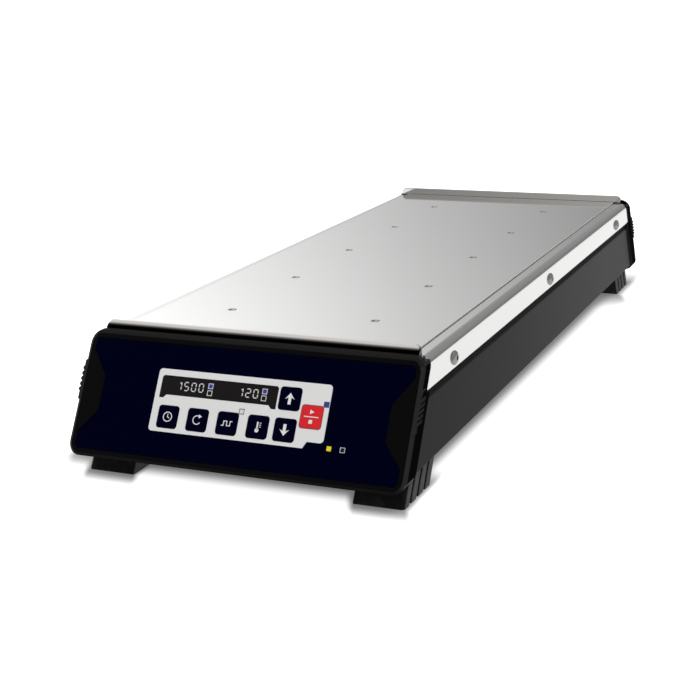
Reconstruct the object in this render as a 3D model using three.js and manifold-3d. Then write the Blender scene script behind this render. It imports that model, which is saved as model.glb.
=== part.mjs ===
// Ten-place hotplate stirrer: a long, low bench instrument with a steel work plate,
// leaning black end caps, a keypad on the front cap and ten driven magnets under the plate.
// Millimetres. +Z up, +X to the operator's right, +Y to the rear. The origin is on the bench,
// under the middle of the instrument.
import * as THREE from 'three';
import { mergeVertices } from 'three/addons/utils/BufferGeometryUtils.js';
import Module from 'manifold-3d';

const wasm = await Module();
wasm.setup();

// Clearances shared by all pieces
const SEAT_GAP = 0.1;
const FIT_GAP = 0.3;
const OVERRUN = 1;

// Stirring stations
const STATION_COLUMNS = 2;
const STATION_ROWS = 5;
const STATION_PITCH_X = 90;
const STATION_PITCH_Y = 87.1;

// Height of the instrument
const FOOT_HEIGHT = 16;
const BODY_HEIGHT = 58;

// Work plate
const PLATE_SIDE_MARGIN = 42.8;
const PLATE_END_MARGIN = 54.8;
const PLATE_SHEET = 0.8;
const PLATE_CORNER = 1.5;

// Heating stack under the work plate
const SPREADER_THICKNESS = 3;
const HEATER_THICKNESS = 1.2;
const INSULATION_SHARE = 0.069;
const STACK_MARGIN = 1;
const PROBE_RADIUS = 3;
const PROBE_STEM_RADIUS = 1.5;
const PROBE_STEM_LENGTH = 5;
const CUTOUT_WIDTH = 16;
const CUTOUT_LENGTH = 24;
const CUTOUT_TAG_REACH = 3;
const CUTOUT_TAG_WIDTH = 3;
const CUTOUT_TAG_THICKNESS = 1.2;
const CUTOUT_TAG_SPREAD = 4;

// Top cover
const COVER_SHEET = 1;
const COVER_SHOULDER = 5.2;
const COVER_BEND = 5;
const COVER_LEDGE = 6;
const SKIRT_DROP = 17.1;
const SKIRT_SETBACK = 11;
const LIP_WIDTH = 4.5;
const LIP_RISE = 5.1;
const LIP_CORNER = 3.2;
const LIP_OUTER_EDGE = 3;
const LIP_INNER_EDGE = 1.2;

// Lower housing
const HOUSING_SHEET = 1.2;
const SKIRT_GAP = 0.5;
const HOUSING_SETBACK = 4.5;
const VENT_COUNT = 8;
const VENT_WIDTH = 3;
const VENT_LENGTH = 34;
const VENT_PITCH = 12;
const VENT_INSET = 36;

// End caps
const CAP_LEAN = Math.PI / 6;
const CAP_REACH = 5.4;
const CAP_WALL = 1.8;
const CAP_FLOOR_WALL = 2.8;
const CAP_FACE_WALL = 2.5;
const CAP_DEPTH = 15.5;
const CAP_RISE = 0.8;
const CAP_TOP_WALL = 2;
const CAP_TOP_LAND = 4.5;
const CAP_CORNER = 7;
const CAP_CHAMFER = 1.8;
const CAP_CHAMFER_DEPTH = 1.3;
const LUG_WIDTH = 12;
const LUG_HEIGHT = 6;
const GRIP_DROP = 14.5;
const GRIP_HEIGHT = 19.7;
const GRIP_SETBACK = 0.5;
const GRIP_LENGTH = 6.5;
const GRIP_STAND = 0.5;
const GRIP_RIB_COUNT = 5;
const GRIP_RIB_WIDTH = 1.5;
const GRIP_RIB_PITCH = 2.6;
const GRIP_RIB_START = 3.5;
const GRIP_RIB_STAND = 0.7;

// Front overlay film and its outline, which is waisted beside the side grips
const OVERLAY_THICKNESS = 0.5;
const OVERLAY_MARGIN = 2.5;
const OVERLAY_WAIST = 10;
const OVERLAY_CORNER = 1.5;
const OVERLAY_WAIST_SHARES = [0.107, 0.337, 0.65, 0.847];

// Keypad panel
const PANEL_RISE = 16.58;
const PANEL_SIDE_MARGIN = 4.4;
const PANEL_END_MARGIN = 3;
const PANEL_FOOT_MARGIN = 2.3;
const PANEL_CORNER = 2;
const PANEL_LEDGE = 1.2;
const NOTCH_LENGTH = 9.2;
const NOTCH_HEIGHT = 3.6;

// Display window and display
const WINDOW_MARGIN = 3.8;
const WINDOW_SIDE_MARGIN = 2.9;
const WINDOW_HEIGHT = 10;
const WINDOW_KEY_GAP = 6.3;
const WINDOW_ARROW_GAP = 1.6;
const WINDOW_CORNER = 1;
const WINDOW_TAB_DROP = 1.8;
const WINDOW_TAB_WIDTH = 2.6;
const DISPLAY_MARGIN = 1;

// Keys: a row of four, two arrow keys beside it and the start key
const ROW_KEY_COUNT = 4;
const KEY_SIZE = 12;
const KEY_CORNER = 1.5;
const KEY_STAND = 0.3;
const KEY_TRAVEL = 0.5;
const KEY_GAP = 5.85;
const KEY_STEM_RADIUS = 3;
const ARROW_KEY_GAP = 3.6;
const ARROW_STACK_GAP = 4.65;
const START_KEY_GAP = 1.7;

// Indicator lamps: square light pipes behind the panel and the overlay
const LAMP_SIZE = 2.5;
const LAMP_KEY_OFFSET = 7.2;
const HEAT_LAMP_INSET = 3.6;
const HEAT_LAMP_PITCH = 7.6;
const HEAT_LAMP_RISE = 1.4;

// Control board
const BOARD_THICKNESS = 1.6;
const BOARD_STAND = 8;
const BOARD_SIDE_MARGIN = 8;
const BOARD_FOOT_MARGIN = 6;
const BOARD_TOP_DROP = 8.3;
const CHIP_SIZE = 12;
const CHIP_HEIGHT = 2.2;
const BOARD_PIN_RADIUS = 1.2;
const BOSS_WALL = 1.8;

// Drive: magnet rotors over the coils of one long stator board
const ROTOR_AIR = 2.2;
const MAGNET_RADIUS = 8;
const MAGNET_HEIGHT_SHARE = 0.138;
const MAGNET_SPREAD = 18;
const YOKE_THICKNESS = 3;
const YOKE_RIM = 2;
const COIL_RADIUS = 21;
const COIL_HEIGHT_SHARE = 0.138;
const COIL_AIR = 1;
const SHAFT_RADIUS = 2.5;
const BUSH_LENGTH = 6;
const BUSH_WALL = 2;
const DECK_SHEET = 1.5;
const DECK_SIDE_GAP = 0.5;
const DECK_END_GAP = 7;
const STATOR_MARGIN = 3;

// Power supply board
const SUPPLY_WIDTH = 92;
const SUPPLY_LENGTH = 150;
const SUPPLY_STAND = 5;
const SUPPLY_AIR_SHARE = 0.06;
const TRANSFORMER_WIDTH = 46;
const TRANSFORMER_LENGTH = 38;
const TRANSFORMER_SETBACK = 12;
const CAPACITOR_RADIUS = 9;
const CAPACITOR_SPREAD = 18;
const CAPACITOR_SETBACK = 25;
const STANDOFF_RADIUS = 3;
const SUPPLY_INSET = 6;

// Rear panel, seen through a well in the rear cap
const REAR_PANEL_SETBACK = 1.4;
const REAR_PANEL_SHEET = 1.5;
const WELL_HALF_WIDTH = 52;
const WELL_LIFT = 9;
const WELL_DROP = 12.6;
const WELL_WALL = 1.8;
const WELL_CORNER = 3;

// Mains inlet, power switch and fuse holder on the rear panel
const INLET_OFFSET = -27;
const INLET_WIDTH = 27;
const INLET_HEIGHT = 20;
const INLET_DEPTH = 21;
const INLET_WALL = 2;
const INLET_CORNER = 4;
const FLANGE_RIM = 3;
const FLANGE_THICKNESS = 2.2;
const PIN_WIDTH = 2;
const PIN_HEIGHT = 4;
const PIN_PITCH = 7;
const PIN_RISE = 2;
const PIN_SHORTFALL = 5.5;
const SWITCH_OFFSET = 31;
const SWITCH_WIDTH = 13;
const SWITCH_HEIGHT = 19;
const SWITCH_DEPTH = 17;
const SWITCH_WALL = 1.3;
const ROCKER_TILT = 8;
const ROCKER_STAND = 2.4;
const ROCKER_EDGE_STAND = 1.1;
const ROCKER_BACK = 4;
const ROCKER_END_GAP = 0.8;
const FUSE_OFFSET = 5;
const FUSE_RADIUS = 6;
const FUSE_DEPTH = 20;
const FUSE_WALL = 1.4;
const FUSE_CAP_RADIUS = 6.5;
const FUSE_CAP_HEIGHT = 4;
const FUSE_STEM_LENGTH = 10;
const FUSE_SLOT_WIDTH = 1.6;
const FUSE_SLOT_DEPTH = 1.4;

// Feet
const FOOT_SETBACK = 21.4;
const FOOT_LENGTH = 37.4;
const FOOT_WIDTH = 28.7;
const FOOT_INSET = 2.7;
const FOOT_GROOVE_COUNT = 3;
const FOOT_GROOVE_WIDTH = 3.3;
const FOOT_GROOVE_DEPTH = 1.4;
const FOOT_CHAMFER = 1.6;
const FOOT_RECESS_RADIUS = 5;
const FOOT_SCREW_SEAT = 5;

// Screws
const SCREW_RADIUS = 2;
const SCREW_HEAD_RADIUS = 4;
const SCREW_HEAD_HEIGHT = 2.2;
const SCREW_LENGTH = 6;
const SCREW_HOLE_GAP = 0.4;
const SCREW_CROWN_SHARES = [[0.9, 0.38], [0.6, 0.75]];
const HEX_RADIUS = 1.5;
const HEX_DEPTH = 1.3;
const SKIRT_SCREW_DROP = 11.5;
const SKIRT_SCREW_END = 35.7;

// Facets round turned pieces, and in a quarter of a rounded corner
const FINE_FACETS = 20;
const COARSE_FACETS = 12;
const SMALL_FACETS = 8;
const HEX_FACETS = 6;
const ARC_FACETS = 4;
const KEY_ARC_FACETS = 2;

// Points of a mesh that lie closer than this are one point
const MERGE_GAP = 0.0001;

// Finishes
const STEEL = { color: 0xc9c8c5, roughness: 0.25, metalness: 1 };
const ALUMINIUM = { color: 0xb4b7ba, roughness: 0.45, metalness: 1 };
const DARK_PAINT = { color: 0x3f4042, roughness: 0.6, metalness: 0.1 };
const BLACK_PLASTIC = { color: 0x0d0d0d, roughness: 0.5, metalness: 0 };
const NAVY_FILM = { color: 0x030316, roughness: 0.45, metalness: 0 };
const GREY_FILM = { color: 0xe1e1e1, roughness: 0.5, metalness: 0 };
const RED_FILM = { color: 0xd62a30, roughness: 0.45, metalness: 0 };
const SMOKED_GLASS = { color: 0x1e1b1c, roughness: 0.1, metalness: 0 };
const LAMP_PLASTIC = { color: 0x2b2f9a, roughness: 0.3, metalness: 0 };
const RUBBER = { color: 0x2b2b2b, roughness: 0.8, metalness: 0 };
const SILICONE = { color: 0xb4552d, roughness: 0.8, metalness: 0 };
const BOARD_GREEN = { color: 0x1e5b38, roughness: 0.5, metalness: 0 };
const WOOL_BOARD = { color: 0xd9d3c2, roughness: 0.95, metalness: 0 };

// Thicknesses that follow the body's height
const magnetHeight = BODY_HEIGHT * MAGNET_HEIGHT_SHARE;
const coilHeight = BODY_HEIGHT * COIL_HEIGHT_SHARE;
const insulationThickness = BODY_HEIGHT * INSULATION_SHARE;
const supplyAir = BODY_HEIGHT * SUPPLY_AIR_SHARE;

// Levels, from the bench up
const housingFloor = FOOT_HEIGHT;
const plateTop = FOOT_HEIGHT + BODY_HEIGHT;
const coverTop = plateTop - PLATE_SHEET - SEAT_GAP;
const coverUnder = coverTop - COVER_SHEET;
const bendCentre = coverTop - COVER_BEND;
const skirtBottom = plateTop - SKIRT_DROP;
const spreaderTop = plateTop - PLATE_SHEET - SEAT_GAP;
const heaterTop = spreaderTop - SPREADER_THICKNESS - SEAT_GAP;
const insulationTop = heaterTop - HEATER_THICKNESS - SEAT_GAP;
const insulationUnder = insulationTop - insulationThickness;
const magnetTop = insulationUnder - ROTOR_AIR;
const yokeTop = magnetTop - magnetHeight;
const coilTop = yokeTop - YOKE_THICKNESS - COIL_AIR;
const statorTop = coilTop - coilHeight;
const deckTop = statorTop - BOARD_THICKNESS - SEAT_GAP;
const floorTop = housingFloor + HOUSING_SHEET;
const lugFloor = floorTop + FIT_GAP;
const capTop = plateTop + CAP_RISE;
const capBottom = housingFloor - FIT_GAP - CAP_FLOOR_WALL;

// Half-widths and half-lengths, from the middle out
const plateHalfWidth = (STATION_PITCH_X * (STATION_COLUMNS - 1)) / 2 + PLATE_SIDE_MARGIN;
const plateHalfLength = (STATION_PITCH_Y * (STATION_ROWS - 1)) / 2 + PLATE_END_MARGIN;
const openingHalfWidth = plateHalfWidth - COVER_LEDGE;
const openingHalfLength = plateHalfLength - COVER_LEDGE;
const bendStart = plateHalfWidth + COVER_SHOULDER;
const skirtHalfWidth = bendStart + COVER_BEND;
const coverHalfLength = plateHalfLength + LIP_WIDTH;
const housingHalfWidth = skirtHalfWidth - COVER_SHEET - SKIRT_GAP;
const innerHalfWidth = housingHalfWidth - HOUSING_SHEET;
const capHalfWidth = housingHalfWidth + FIT_GAP + CAP_WALL;
const faceReach = coverHalfLength + CAP_REACH;
const rearPanelFace = coverHalfLength - REAR_PANEL_SETBACK;

// The leaning cap face: distance of the face from the middle at a given height
const leanRate = Math.tan(CAP_LEAN);
const faceAt = (z) => faceReach + (plateTop - z) * leanRate;
const faceWallDepth = CAP_FACE_WALL / Math.cos(CAP_LEAN);

// Turns depth behind the front face into Y, so that straight pieces lean with the face
const leanMatrix = new THREE.Matrix4().set(
  1, 0, 0, 0,
  0, 1, leanRate, -faceAt(0),
  0, 0, 1, 0,
  0, 0, 0, 1,
);

// The front face's own frame: X across, Y up the slope from the plate's level, Z outwards
const faceMatrix = new THREE.Matrix4()
  .makeTranslation(0, -faceReach, plateTop)
  .multiply(new THREE.Matrix4().makeRotationX(Math.PI / 2 - CAP_LEAN));

const model = new THREE.Group();
const frontFace = new THREE.Group();
frontFace.applyMatrix4(faceMatrix);
model.add(frontFace);

// Signed volume of a closed triangle mesh
function signedVolume(positions, index) {
  const a = new THREE.Vector3();
  const b = new THREE.Vector3();
  const c = new THREE.Vector3();
  let volume = 0;
  for (let i = 0; i < index.length; i += 3) {
    a.fromArray(positions, index[i] * 3);
    b.fromArray(positions, index[i + 1] * 3);
    c.fromArray(positions, index[i + 2] * 3);
    volume += a.dot(b.cross(c)) / 6;
  }
  return volume;
}

// A closed geometry as a solid for cutting and joining
function solid(geometry) {
  const plain = geometry.clone();
  plain.deleteAttribute('normal');
  plain.deleteAttribute('uv');
  const merged = mergeVertices(plain, MERGE_GAP);
  const positions = new Float32Array(merged.attributes.position.array);
  const index = new Uint32Array(merged.index.array);
  if (signedVolume(positions, index) < 0) {
    index.reverse();
  }
  return new wasm.Manifold(new wasm.Mesh({ numProp: 3, vertProperties: positions, triVerts: index }));
}

// A solid back as a geometry
function geometryOf(body) {
  const mesh = body.getMesh();
  const geometry = new THREE.BufferGeometry();
  geometry.setAttribute('position', new THREE.BufferAttribute(new Float32Array(mesh.vertProperties), 3));
  geometry.setIndex(new THREE.BufferAttribute(new Uint32Array(mesh.triVerts), 1));
  return geometry;
}

function join(solids) {
  return solids.reduce((total, one) => total.add(one));
}

function cut(body, tools) {
  return tools.reduce((rest, tool) => rest.subtract(tool), body);
}

// A box between two corners
function block(low, high) {
  const size = high.map((value, axis) => value - low[axis]);
  const middle = high.map((value, axis) => (value + low[axis]) / 2);
  return solid(new THREE.BoxGeometry(...size).translate(...middle));
}

// A box that is symmetric about x = 0
function centredBlock(halfWidth, [y0, y1], [z0, z1]) {
  return block([-halfWidth, y0, z0], [halfWidth, y1, z1]);
}

function shapeFrom(points) {
  return new THREE.Shape(points.map(([x, y]) => new THREE.Vector2(x, y)));
}

// A rounded rectangle between two corners
function roundedRectangle([x0, y0], [x1, y1], radius) {
  const shape = new THREE.Shape();
  shape.absarc(x1 - radius, y0 + radius, radius, -Math.PI / 2, 0);
  shape.absarc(x1 - radius, y1 - radius, radius, 0, Math.PI / 2);
  shape.absarc(x0 + radius, y1 - radius, radius, Math.PI / 2, Math.PI);
  shape.absarc(x0 + radius, y0 + radius, radius, Math.PI, Math.PI * 1.5);
  shape.closePath();
  return shape;
}

// A rounded square about a centre
function roundedSquare([x, y], size, radius) {
  return roundedRectangle([x - size / 2, y - size / 2], [x + size / 2, y + size / 2], radius);
}

// A plain slab: the shape drawn in XY, standing from z0 to z1
function slab(shape, z0, z1, arcFacets = ARC_FACETS) {
  const options = { depth: z1 - z0, bevelEnabled: false, curveSegments: arcFacets };
  return new THREE.ExtrudeGeometry(shape, options).translate(0, 0, z0);
}

// A shape drawn in (x, z), running along Y from y0 to y1
function alongY(shape, y0, y1) {
  return solid(slab(shape, -y1, -y0).rotateX(Math.PI / 2));
}

// A shape drawn in (y, z), running along X from x0 to x1
function alongX(shape, x0, x1) {
  return solid(slab(shape, x0, x1).rotateX(Math.PI / 2).rotateZ(Math.PI / 2));
}

// A profile of [radius, height] points turned about Z
function turned(profile, facets) {
  const points = profile.map(([radius, height]) => new THREE.Vector2(radius, height));
  return solid(new THREE.LatheGeometry(points, facets).rotateX(Math.PI / 2));
}

function rod(radius, z0, z1, facets = SMALL_FACETS) {
  return turned([[0, z0], [radius, z0], [radius, z1], [0, z1]], facets);
}

// The same solid moved, or passed through a matrix
function moved(body, x, y, z) {
  return solid(geometryOf(body).translate(x, y, z));
}

function mapped(body, matrix) {
  return solid(geometryOf(body).applyMatrix4(matrix));
}

const leaned = (body) => mapped(body, leanMatrix);
const onFace = (body) => mapped(body, faceMatrix);
const turnAbout = (body) => solid(geometryOf(body).rotateZ(Math.PI));
const toward = (body, axis) => {
  const direction = new THREE.Quaternion().setFromUnitVectors(new THREE.Vector3(0, 0, 1), axis);
  return mapped(body, new THREE.Matrix4().makeRotationFromQuaternion(direction));
};

function place(name, body, finish, parent = model) {
  const mesh = new THREE.Mesh(geometryOf(body), new THREE.MeshStandardMaterial(finish));
  mesh.name = name;
  parent.add(mesh);
  return mesh;
}

// Every stirring station, front left first, row by row
function stations() {
  const list = [];
  for (let row = 0; row < STATION_ROWS; row += 1) {
    for (let column = 0; column < STATION_COLUMNS; column += 1) {
      const x = (column - (STATION_COLUMNS - 1) / 2) * STATION_PITCH_X;
      const y = (row - (STATION_ROWS - 1) / 2) * STATION_PITCH_Y;
      list.push([x, y]);
    }
  }
  return list;
}

// The side outline of a length of body whose ends lie at a depth behind both leaning faces
function leaningSide(z0, z1, depth) {
  const low = faceAt(z0) - depth;
  const high = faceAt(z1) - depth;
  return shapeFrom([[-low, z0], [low, z0], [high, z1], [-high, z1]]);
}

// Screw places, by the pieces that they pass through
const skirtScrewHeight = plateTop - SKIRT_SCREW_DROP;
const skirtScrewEnd = plateHalfLength - SKIRT_SCREW_END;
const skirtScrewPlaces = [-skirtScrewEnd, 0, skirtScrewEnd];
const footX = housingHalfWidth - FOOT_INSET - FOOT_WIDTH / 2;
const footScrewY = faceAt(housingFloor) - FOOT_SETBACK - FOOT_LENGTH / 2;
const cornerSigns = [[-1, -1], [1, -1], [-1, 1], [1, 1]];

// A button-head screw with a hexagon socket, its head's seat at z = 0 and its shank below
function buttonScrew(length) {
  const crown = SCREW_CROWN_SHARES.map(([across, up]) => [
    SCREW_HEAD_RADIUS * across,
    SCREW_HEAD_HEIGHT * up,
  ]);
  const head = turned([
    [0, -length],
    [SCREW_RADIUS, -length],
    [SCREW_RADIUS, 0],
    [SCREW_HEAD_RADIUS, 0],
    ...crown,
    [0, SCREW_HEAD_HEIGHT],
  ], COARSE_FACETS);
  const socket = rod(HEX_RADIUS, SCREW_HEAD_HEIGHT - HEX_DEPTH, SCREW_HEAD_HEIGHT + OVERRUN, HEX_FACETS);
  return cut(head, [socket]);
}

// Work plate: a thin steel skin over the cover's ledge
function workPlate() {
  const corner = [plateHalfWidth, plateHalfLength];
  const outline = roundedRectangle([-plateHalfWidth, -plateHalfLength], corner, PLATE_CORNER);
  return solid(slab(outline, plateTop - PLATE_SHEET, plateTop));
}

// Top cover: flat frame round the work plate, bent skirts at both sides, rolled lips at both ends
function topCover() {
  const flat = centredBlock(bendStart, [-coverHalfLength, coverHalfLength], [coverUnder, coverTop]);
  const opening = centredBlock(
    openingHalfWidth,
    [-openingHalfLength, openingHalfLength],
    [coverUnder - OVERRUN, coverTop + OVERRUN],
  );
  const skirtShape = new THREE.Shape();
  skirtShape.moveTo(bendStart - OVERRUN, coverUnder);
  skirtShape.lineTo(bendStart, coverUnder);
  skirtShape.absarc(bendStart, bendCentre, COVER_BEND - COVER_SHEET, Math.PI / 2, 0, true);
  skirtShape.lineTo(skirtHalfWidth - COVER_SHEET, skirtBottom);
  skirtShape.lineTo(skirtHalfWidth, skirtBottom);
  skirtShape.absarc(bendStart, bendCentre, COVER_BEND, 0, Math.PI / 2);
  skirtShape.lineTo(bendStart - OVERRUN, coverTop);
  skirtShape.closePath();
  const length = faceAt(skirtBottom);
  const side = leaningSide(skirtBottom - OVERRUN, coverTop + OVERRUN, SKIRT_SETBACK);
  const clip = alongX(side, 0, skirtHalfWidth + OVERRUN);
  const rightSkirt = alongY(skirtShape, -length, length).intersect(clip);
  const holes = skirtScrewPlaces.map((y) => moved(
    toward(rod(SCREW_RADIUS + SCREW_HOLE_GAP, 0, skirtHalfWidth + OVERRUN), new THREE.Vector3(1, 0, 0)),
    0, y, skirtScrewHeight,
  ));
  const drilled = cut(rightSkirt, holes);
  return join([cut(flat, [opening]), drilled, turnAbout(drilled), frontLip(), turnAbout(frontLip())]);
}

// One rolled lip: rounded along its top edges and at its two ends
function frontLip() {
  const top = plateTop + LIP_RISE;
  const front = -coverHalfLength;
  const ends = new THREE.Shape();
  ends.moveTo(-bendStart, coverUnder);
  ends.lineTo(bendStart, coverUnder);
  ends.absarc(bendStart - LIP_CORNER, top - LIP_CORNER, LIP_CORNER, 0, Math.PI / 2);
  ends.absarc(-bendStart + LIP_CORNER, top - LIP_CORNER, LIP_CORNER, Math.PI / 2, Math.PI);
  ends.closePath();
  const bead = new THREE.Shape();
  bead.moveTo(front, coverUnder);
  bead.lineTo(front + LIP_WIDTH, coverUnder);
  bead.absarc(front + LIP_WIDTH - LIP_INNER_EDGE, top - LIP_INNER_EDGE, LIP_INNER_EDGE, 0, Math.PI / 2);
  bead.absarc(front + LIP_OUTER_EDGE, top - LIP_OUTER_EDGE, LIP_OUTER_EDGE, Math.PI / 2, Math.PI);
  bead.closePath();
  const across = alongX(bead, -bendStart - OVERRUN, bendStart + OVERRUN);
  return alongY(ends, front - OVERRUN, front + LIP_WIDTH + OVERRUN).intersect(across);
}

// The inner outline of an end cap, shrunk inwards by a clearance
function capInnerOutline(shrink) {
  return roundedRectangle(
    [-capHalfWidth + CAP_WALL + shrink, capBottom + CAP_FLOOR_WALL + shrink],
    [capHalfWidth - CAP_WALL - shrink, capTop - CAP_TOP_WALL - shrink],
    CAP_CORNER - CAP_WALL,
  );
}

// What the front ends of the housing's corners lose, so that they enter the cap's round corners
function cornerRelief() {
  const end = CAP_DEPTH + FIT_GAP;
  const heights = [capBottom - OVERRUN, capTop + OVERRUN];
  const around = centredBlock(capHalfWidth + OVERRUN, [-OVERRUN, end], heights);
  const kept = alongY(capInnerOutline(FIT_GAP / 2), -2 * OVERRUN, end + OVERRUN);
  return leaned(cut(around, [kept]));
}

// Lower housing: a bent steel tray with leaning ends, vents in its floor and screw holes
function baseHousing() {
  const side = leaningSide(housingFloor, bendCentre, HOUSING_SETBACK);
  const outer = alongX(side, -housingHalfWidth, housingHalfWidth);
  const length = faceAt(housingFloor);
  const inside = centredBlock(innerHalfWidth, [-length, length], [floorTop, bendCentre + OVERRUN]);
  const vents = [];
  const ventX = innerHalfWidth - VENT_INSET;
  for (let i = 0; i < VENT_COUNT; i += 1) {
    const y = (i - (VENT_COUNT - 1) / 2) * VENT_PITCH;
    for (const x of [-ventX, ventX]) {
      const low = [x - VENT_LENGTH / 2, y - VENT_WIDTH / 2, housingFloor - OVERRUN];
      const high = [x + VENT_LENGTH / 2, y + VENT_WIDTH / 2, floorTop + OVERRUN];
      vents.push(block(low, high));
    }
  }
  const floorHole = rod(SCREW_RADIUS + SCREW_HOLE_GAP, housingFloor - OVERRUN, floorTop + OVERRUN);
  const floorHoles = cornerSigns.map(([sx, sy]) => moved(floorHole, sx * footX, sy * footScrewY, 0));
  const sideHole = toward(
    rod(SCREW_RADIUS + SCREW_HOLE_GAP, -housingHalfWidth - OVERRUN, housingHalfWidth + OVERRUN),
    new THREE.Vector3(1, 0, 0),
  );
  const sideHoles = skirtScrewPlaces.map((y) => moved(sideHole, 0, y, skirtScrewHeight));
  const relief = cornerRelief();
  const tray = cut(outer, [inside, relief, turnAbout(relief), ...vents, ...floorHoles, ...sideHoles]);
  return join([tray, ...supplyPosts()]);
}

// The plain outer block of an end cap, straight before it is leaned
function capOuter() {
  const outline = roundedRectangle([-capHalfWidth, capBottom], [capHalfWidth, capTop], CAP_CORNER);
  const options = {
    depth: CAP_DEPTH,
    bevelThickness: CAP_CHAMFER_DEPTH,
    bevelSize: CAP_CHAMFER,
    bevelOffset: -CAP_CHAMFER,
    bevelSegments: 1,
    curveSegments: ARC_FACETS,
  };
  const raw = new THREE.ExtrudeGeometry(outline, options).rotateX(Math.PI / 2);
  const straight = solid(raw.translate(0, CAP_DEPTH + CAP_CHAMFER_DEPTH, 0));
  const back = centredBlock(
    capHalfWidth + OVERRUN,
    [CAP_DEPTH, CAP_DEPTH + 2 * CAP_CHAMFER_DEPTH + OVERRUN],
    [capBottom - OVERRUN, capTop + OVERRUN],
  );
  return cut(straight, [back]);
}

// Side grips: a short raised pad beside the face, with ribs along the cap's depth
function capGrips() {
  const padTop = plateTop - GRIP_DROP;
  const padBottom = padTop - GRIP_HEIGHT;
  const root = capHalfWidth - CAP_CHAMFER;
  const padEdge = capHalfWidth + GRIP_STAND;
  const padEnd = GRIP_SETBACK + GRIP_LENGTH;
  const pad = alongY(shapeFrom([
    [root, padBottom],
    [capHalfWidth, padBottom],
    [padEdge, padBottom + GRIP_STAND],
    [padEdge, padTop - GRIP_STAND],
    [capHalfWidth, padTop],
    [root, padTop],
  ]), GRIP_SETBACK, padEnd);
  const ribs = [];
  for (let i = 0; i < GRIP_RIB_COUNT; i += 1) {
    const top = padTop - GRIP_RIB_START - i * GRIP_RIB_PITCH;
    const low = [root, GRIP_SETBACK, top - GRIP_RIB_WIDTH];
    ribs.push(block(low, [padEdge + GRIP_RIB_STAND, padEnd, top]));
  }
  const right = join([pad, ...ribs]);
  const left = solid(geometryOf(right).scale(-1, 1, 1));
  return [right, left];
}

// The moulded shell that both end caps share, as the front one
function capShell() {
  const hollow = alongY(capInnerOutline(0), faceWallDepth, CAP_DEPTH + OVERRUN);
  const shelfTop = coverUnder - FIT_GAP;
  const overTop = centredBlock(
    capHalfWidth + OVERRUN,
    [CAP_TOP_LAND, CAP_DEPTH + OVERRUN],
    [shelfTop, capTop + OVERRUN],
  );
  const besideSkirt = centredBlock(
    capHalfWidth + GRIP_STAND + GRIP_RIB_STAND + OVERRUN,
    [SKIRT_SETBACK - FIT_GAP, CAP_DEPTH + OVERRUN],
    [skirtBottom - FIT_GAP, capTop + OVERRUN],
  );
  const shelfLevels = [shelfTop - CAP_TOP_WALL, shelfTop];
  const wideShelf = centredBlock(
    capHalfWidth - CAP_WALL,
    [faceWallDepth - OVERRUN, SKIRT_SETBACK - FIT_GAP],
    shelfLevels,
  );
  const narrowShelf = centredBlock(housingHalfWidth - CAP_CORNER, [faceWallDepth, CAP_DEPTH], shelfLevels);
  const skirtRebate = cut(besideSkirt, [centredBlock(
    housingHalfWidth - COVER_BEND,
    [0, CAP_DEPTH + 2 * OVERRUN],
    [skirtBottom - OVERRUN, capTop + 2 * OVERRUN],
  )]);
  const lugEnd = FOOT_SETBACK + FOOT_LENGTH / 2 + LUG_WIDTH / 2;
  const lugs = [-footX, footX].map((x) => block(
    [x - LUG_WIDTH / 2, faceWallDepth / 2, lugFloor],
    [x + LUG_WIDTH / 2, lugEnd, lugFloor + LUG_HEIGHT],
  ));
  const screwHole = rod(SCREW_RADIUS + SCREW_HOLE_GAP, floorTop, lugFloor + LUG_HEIGHT + OVERRUN);
  const screwHoles = [-footX, footX].map((x) => moved(screwHole, x, -footScrewY, 0));
  const shell = join([cut(capOuter(), [hollow]), ...capGrips()]);
  const trimmed = join([cut(shell, [overTop, skirtRebate]), wideShelf, narrowShelf, ...lugs]);
  return cut(leaned(trimmed), screwHoles);
}

// Layout of the front face, in its own frame: x across, v up the slope from the plate's level
const faceEdge = (capTop - CAP_CHAMFER - plateTop) / Math.cos(CAP_LEAN);
const faceFoot = (capBottom + CAP_CHAMFER - plateTop) / Math.cos(CAP_LEAN);
const keyRowWidth = ROW_KEY_COUNT * KEY_SIZE + (ROW_KEY_COUNT - 1) * KEY_GAP;
const besideRowWidth = ARROW_KEY_GAP + KEY_SIZE + START_KEY_GAP + KEY_SIZE;
const panelWidth = PANEL_SIDE_MARGIN + keyRowWidth + besideRowWidth + PANEL_END_MARGIN;
const panelLeft = -panelWidth / 2;
const panelRight = panelWidth / 2;
const panelBottom = faceFoot + PANEL_RISE;
const keyRow = panelBottom + PANEL_FOOT_MARGIN + KEY_SIZE / 2;
const windowBottom = keyRow + KEY_SIZE / 2 + WINDOW_KEY_GAP;
const windowTop = windowBottom + WINDOW_HEIGHT;
const panelTop = windowTop + WINDOW_MARGIN;
const firstKey = panelLeft + PANEL_SIDE_MARGIN + KEY_SIZE / 2;
const keyColumn = (i) => firstKey + i * (KEY_SIZE + KEY_GAP);
const arrowColumn = keyColumn(ROW_KEY_COUNT - 1) + KEY_SIZE + ARROW_KEY_GAP;
const startColumn = arrowColumn + KEY_SIZE + START_KEY_GAP;
const upRow = keyRow + KEY_SIZE + ARROW_STACK_GAP;
const windowLeft = panelLeft + WINDOW_SIDE_MARGIN;
const windowRight = arrowColumn - KEY_SIZE / 2 - WINDOW_ARROW_GAP;
const boardFront = -BOARD_STAND;

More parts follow.
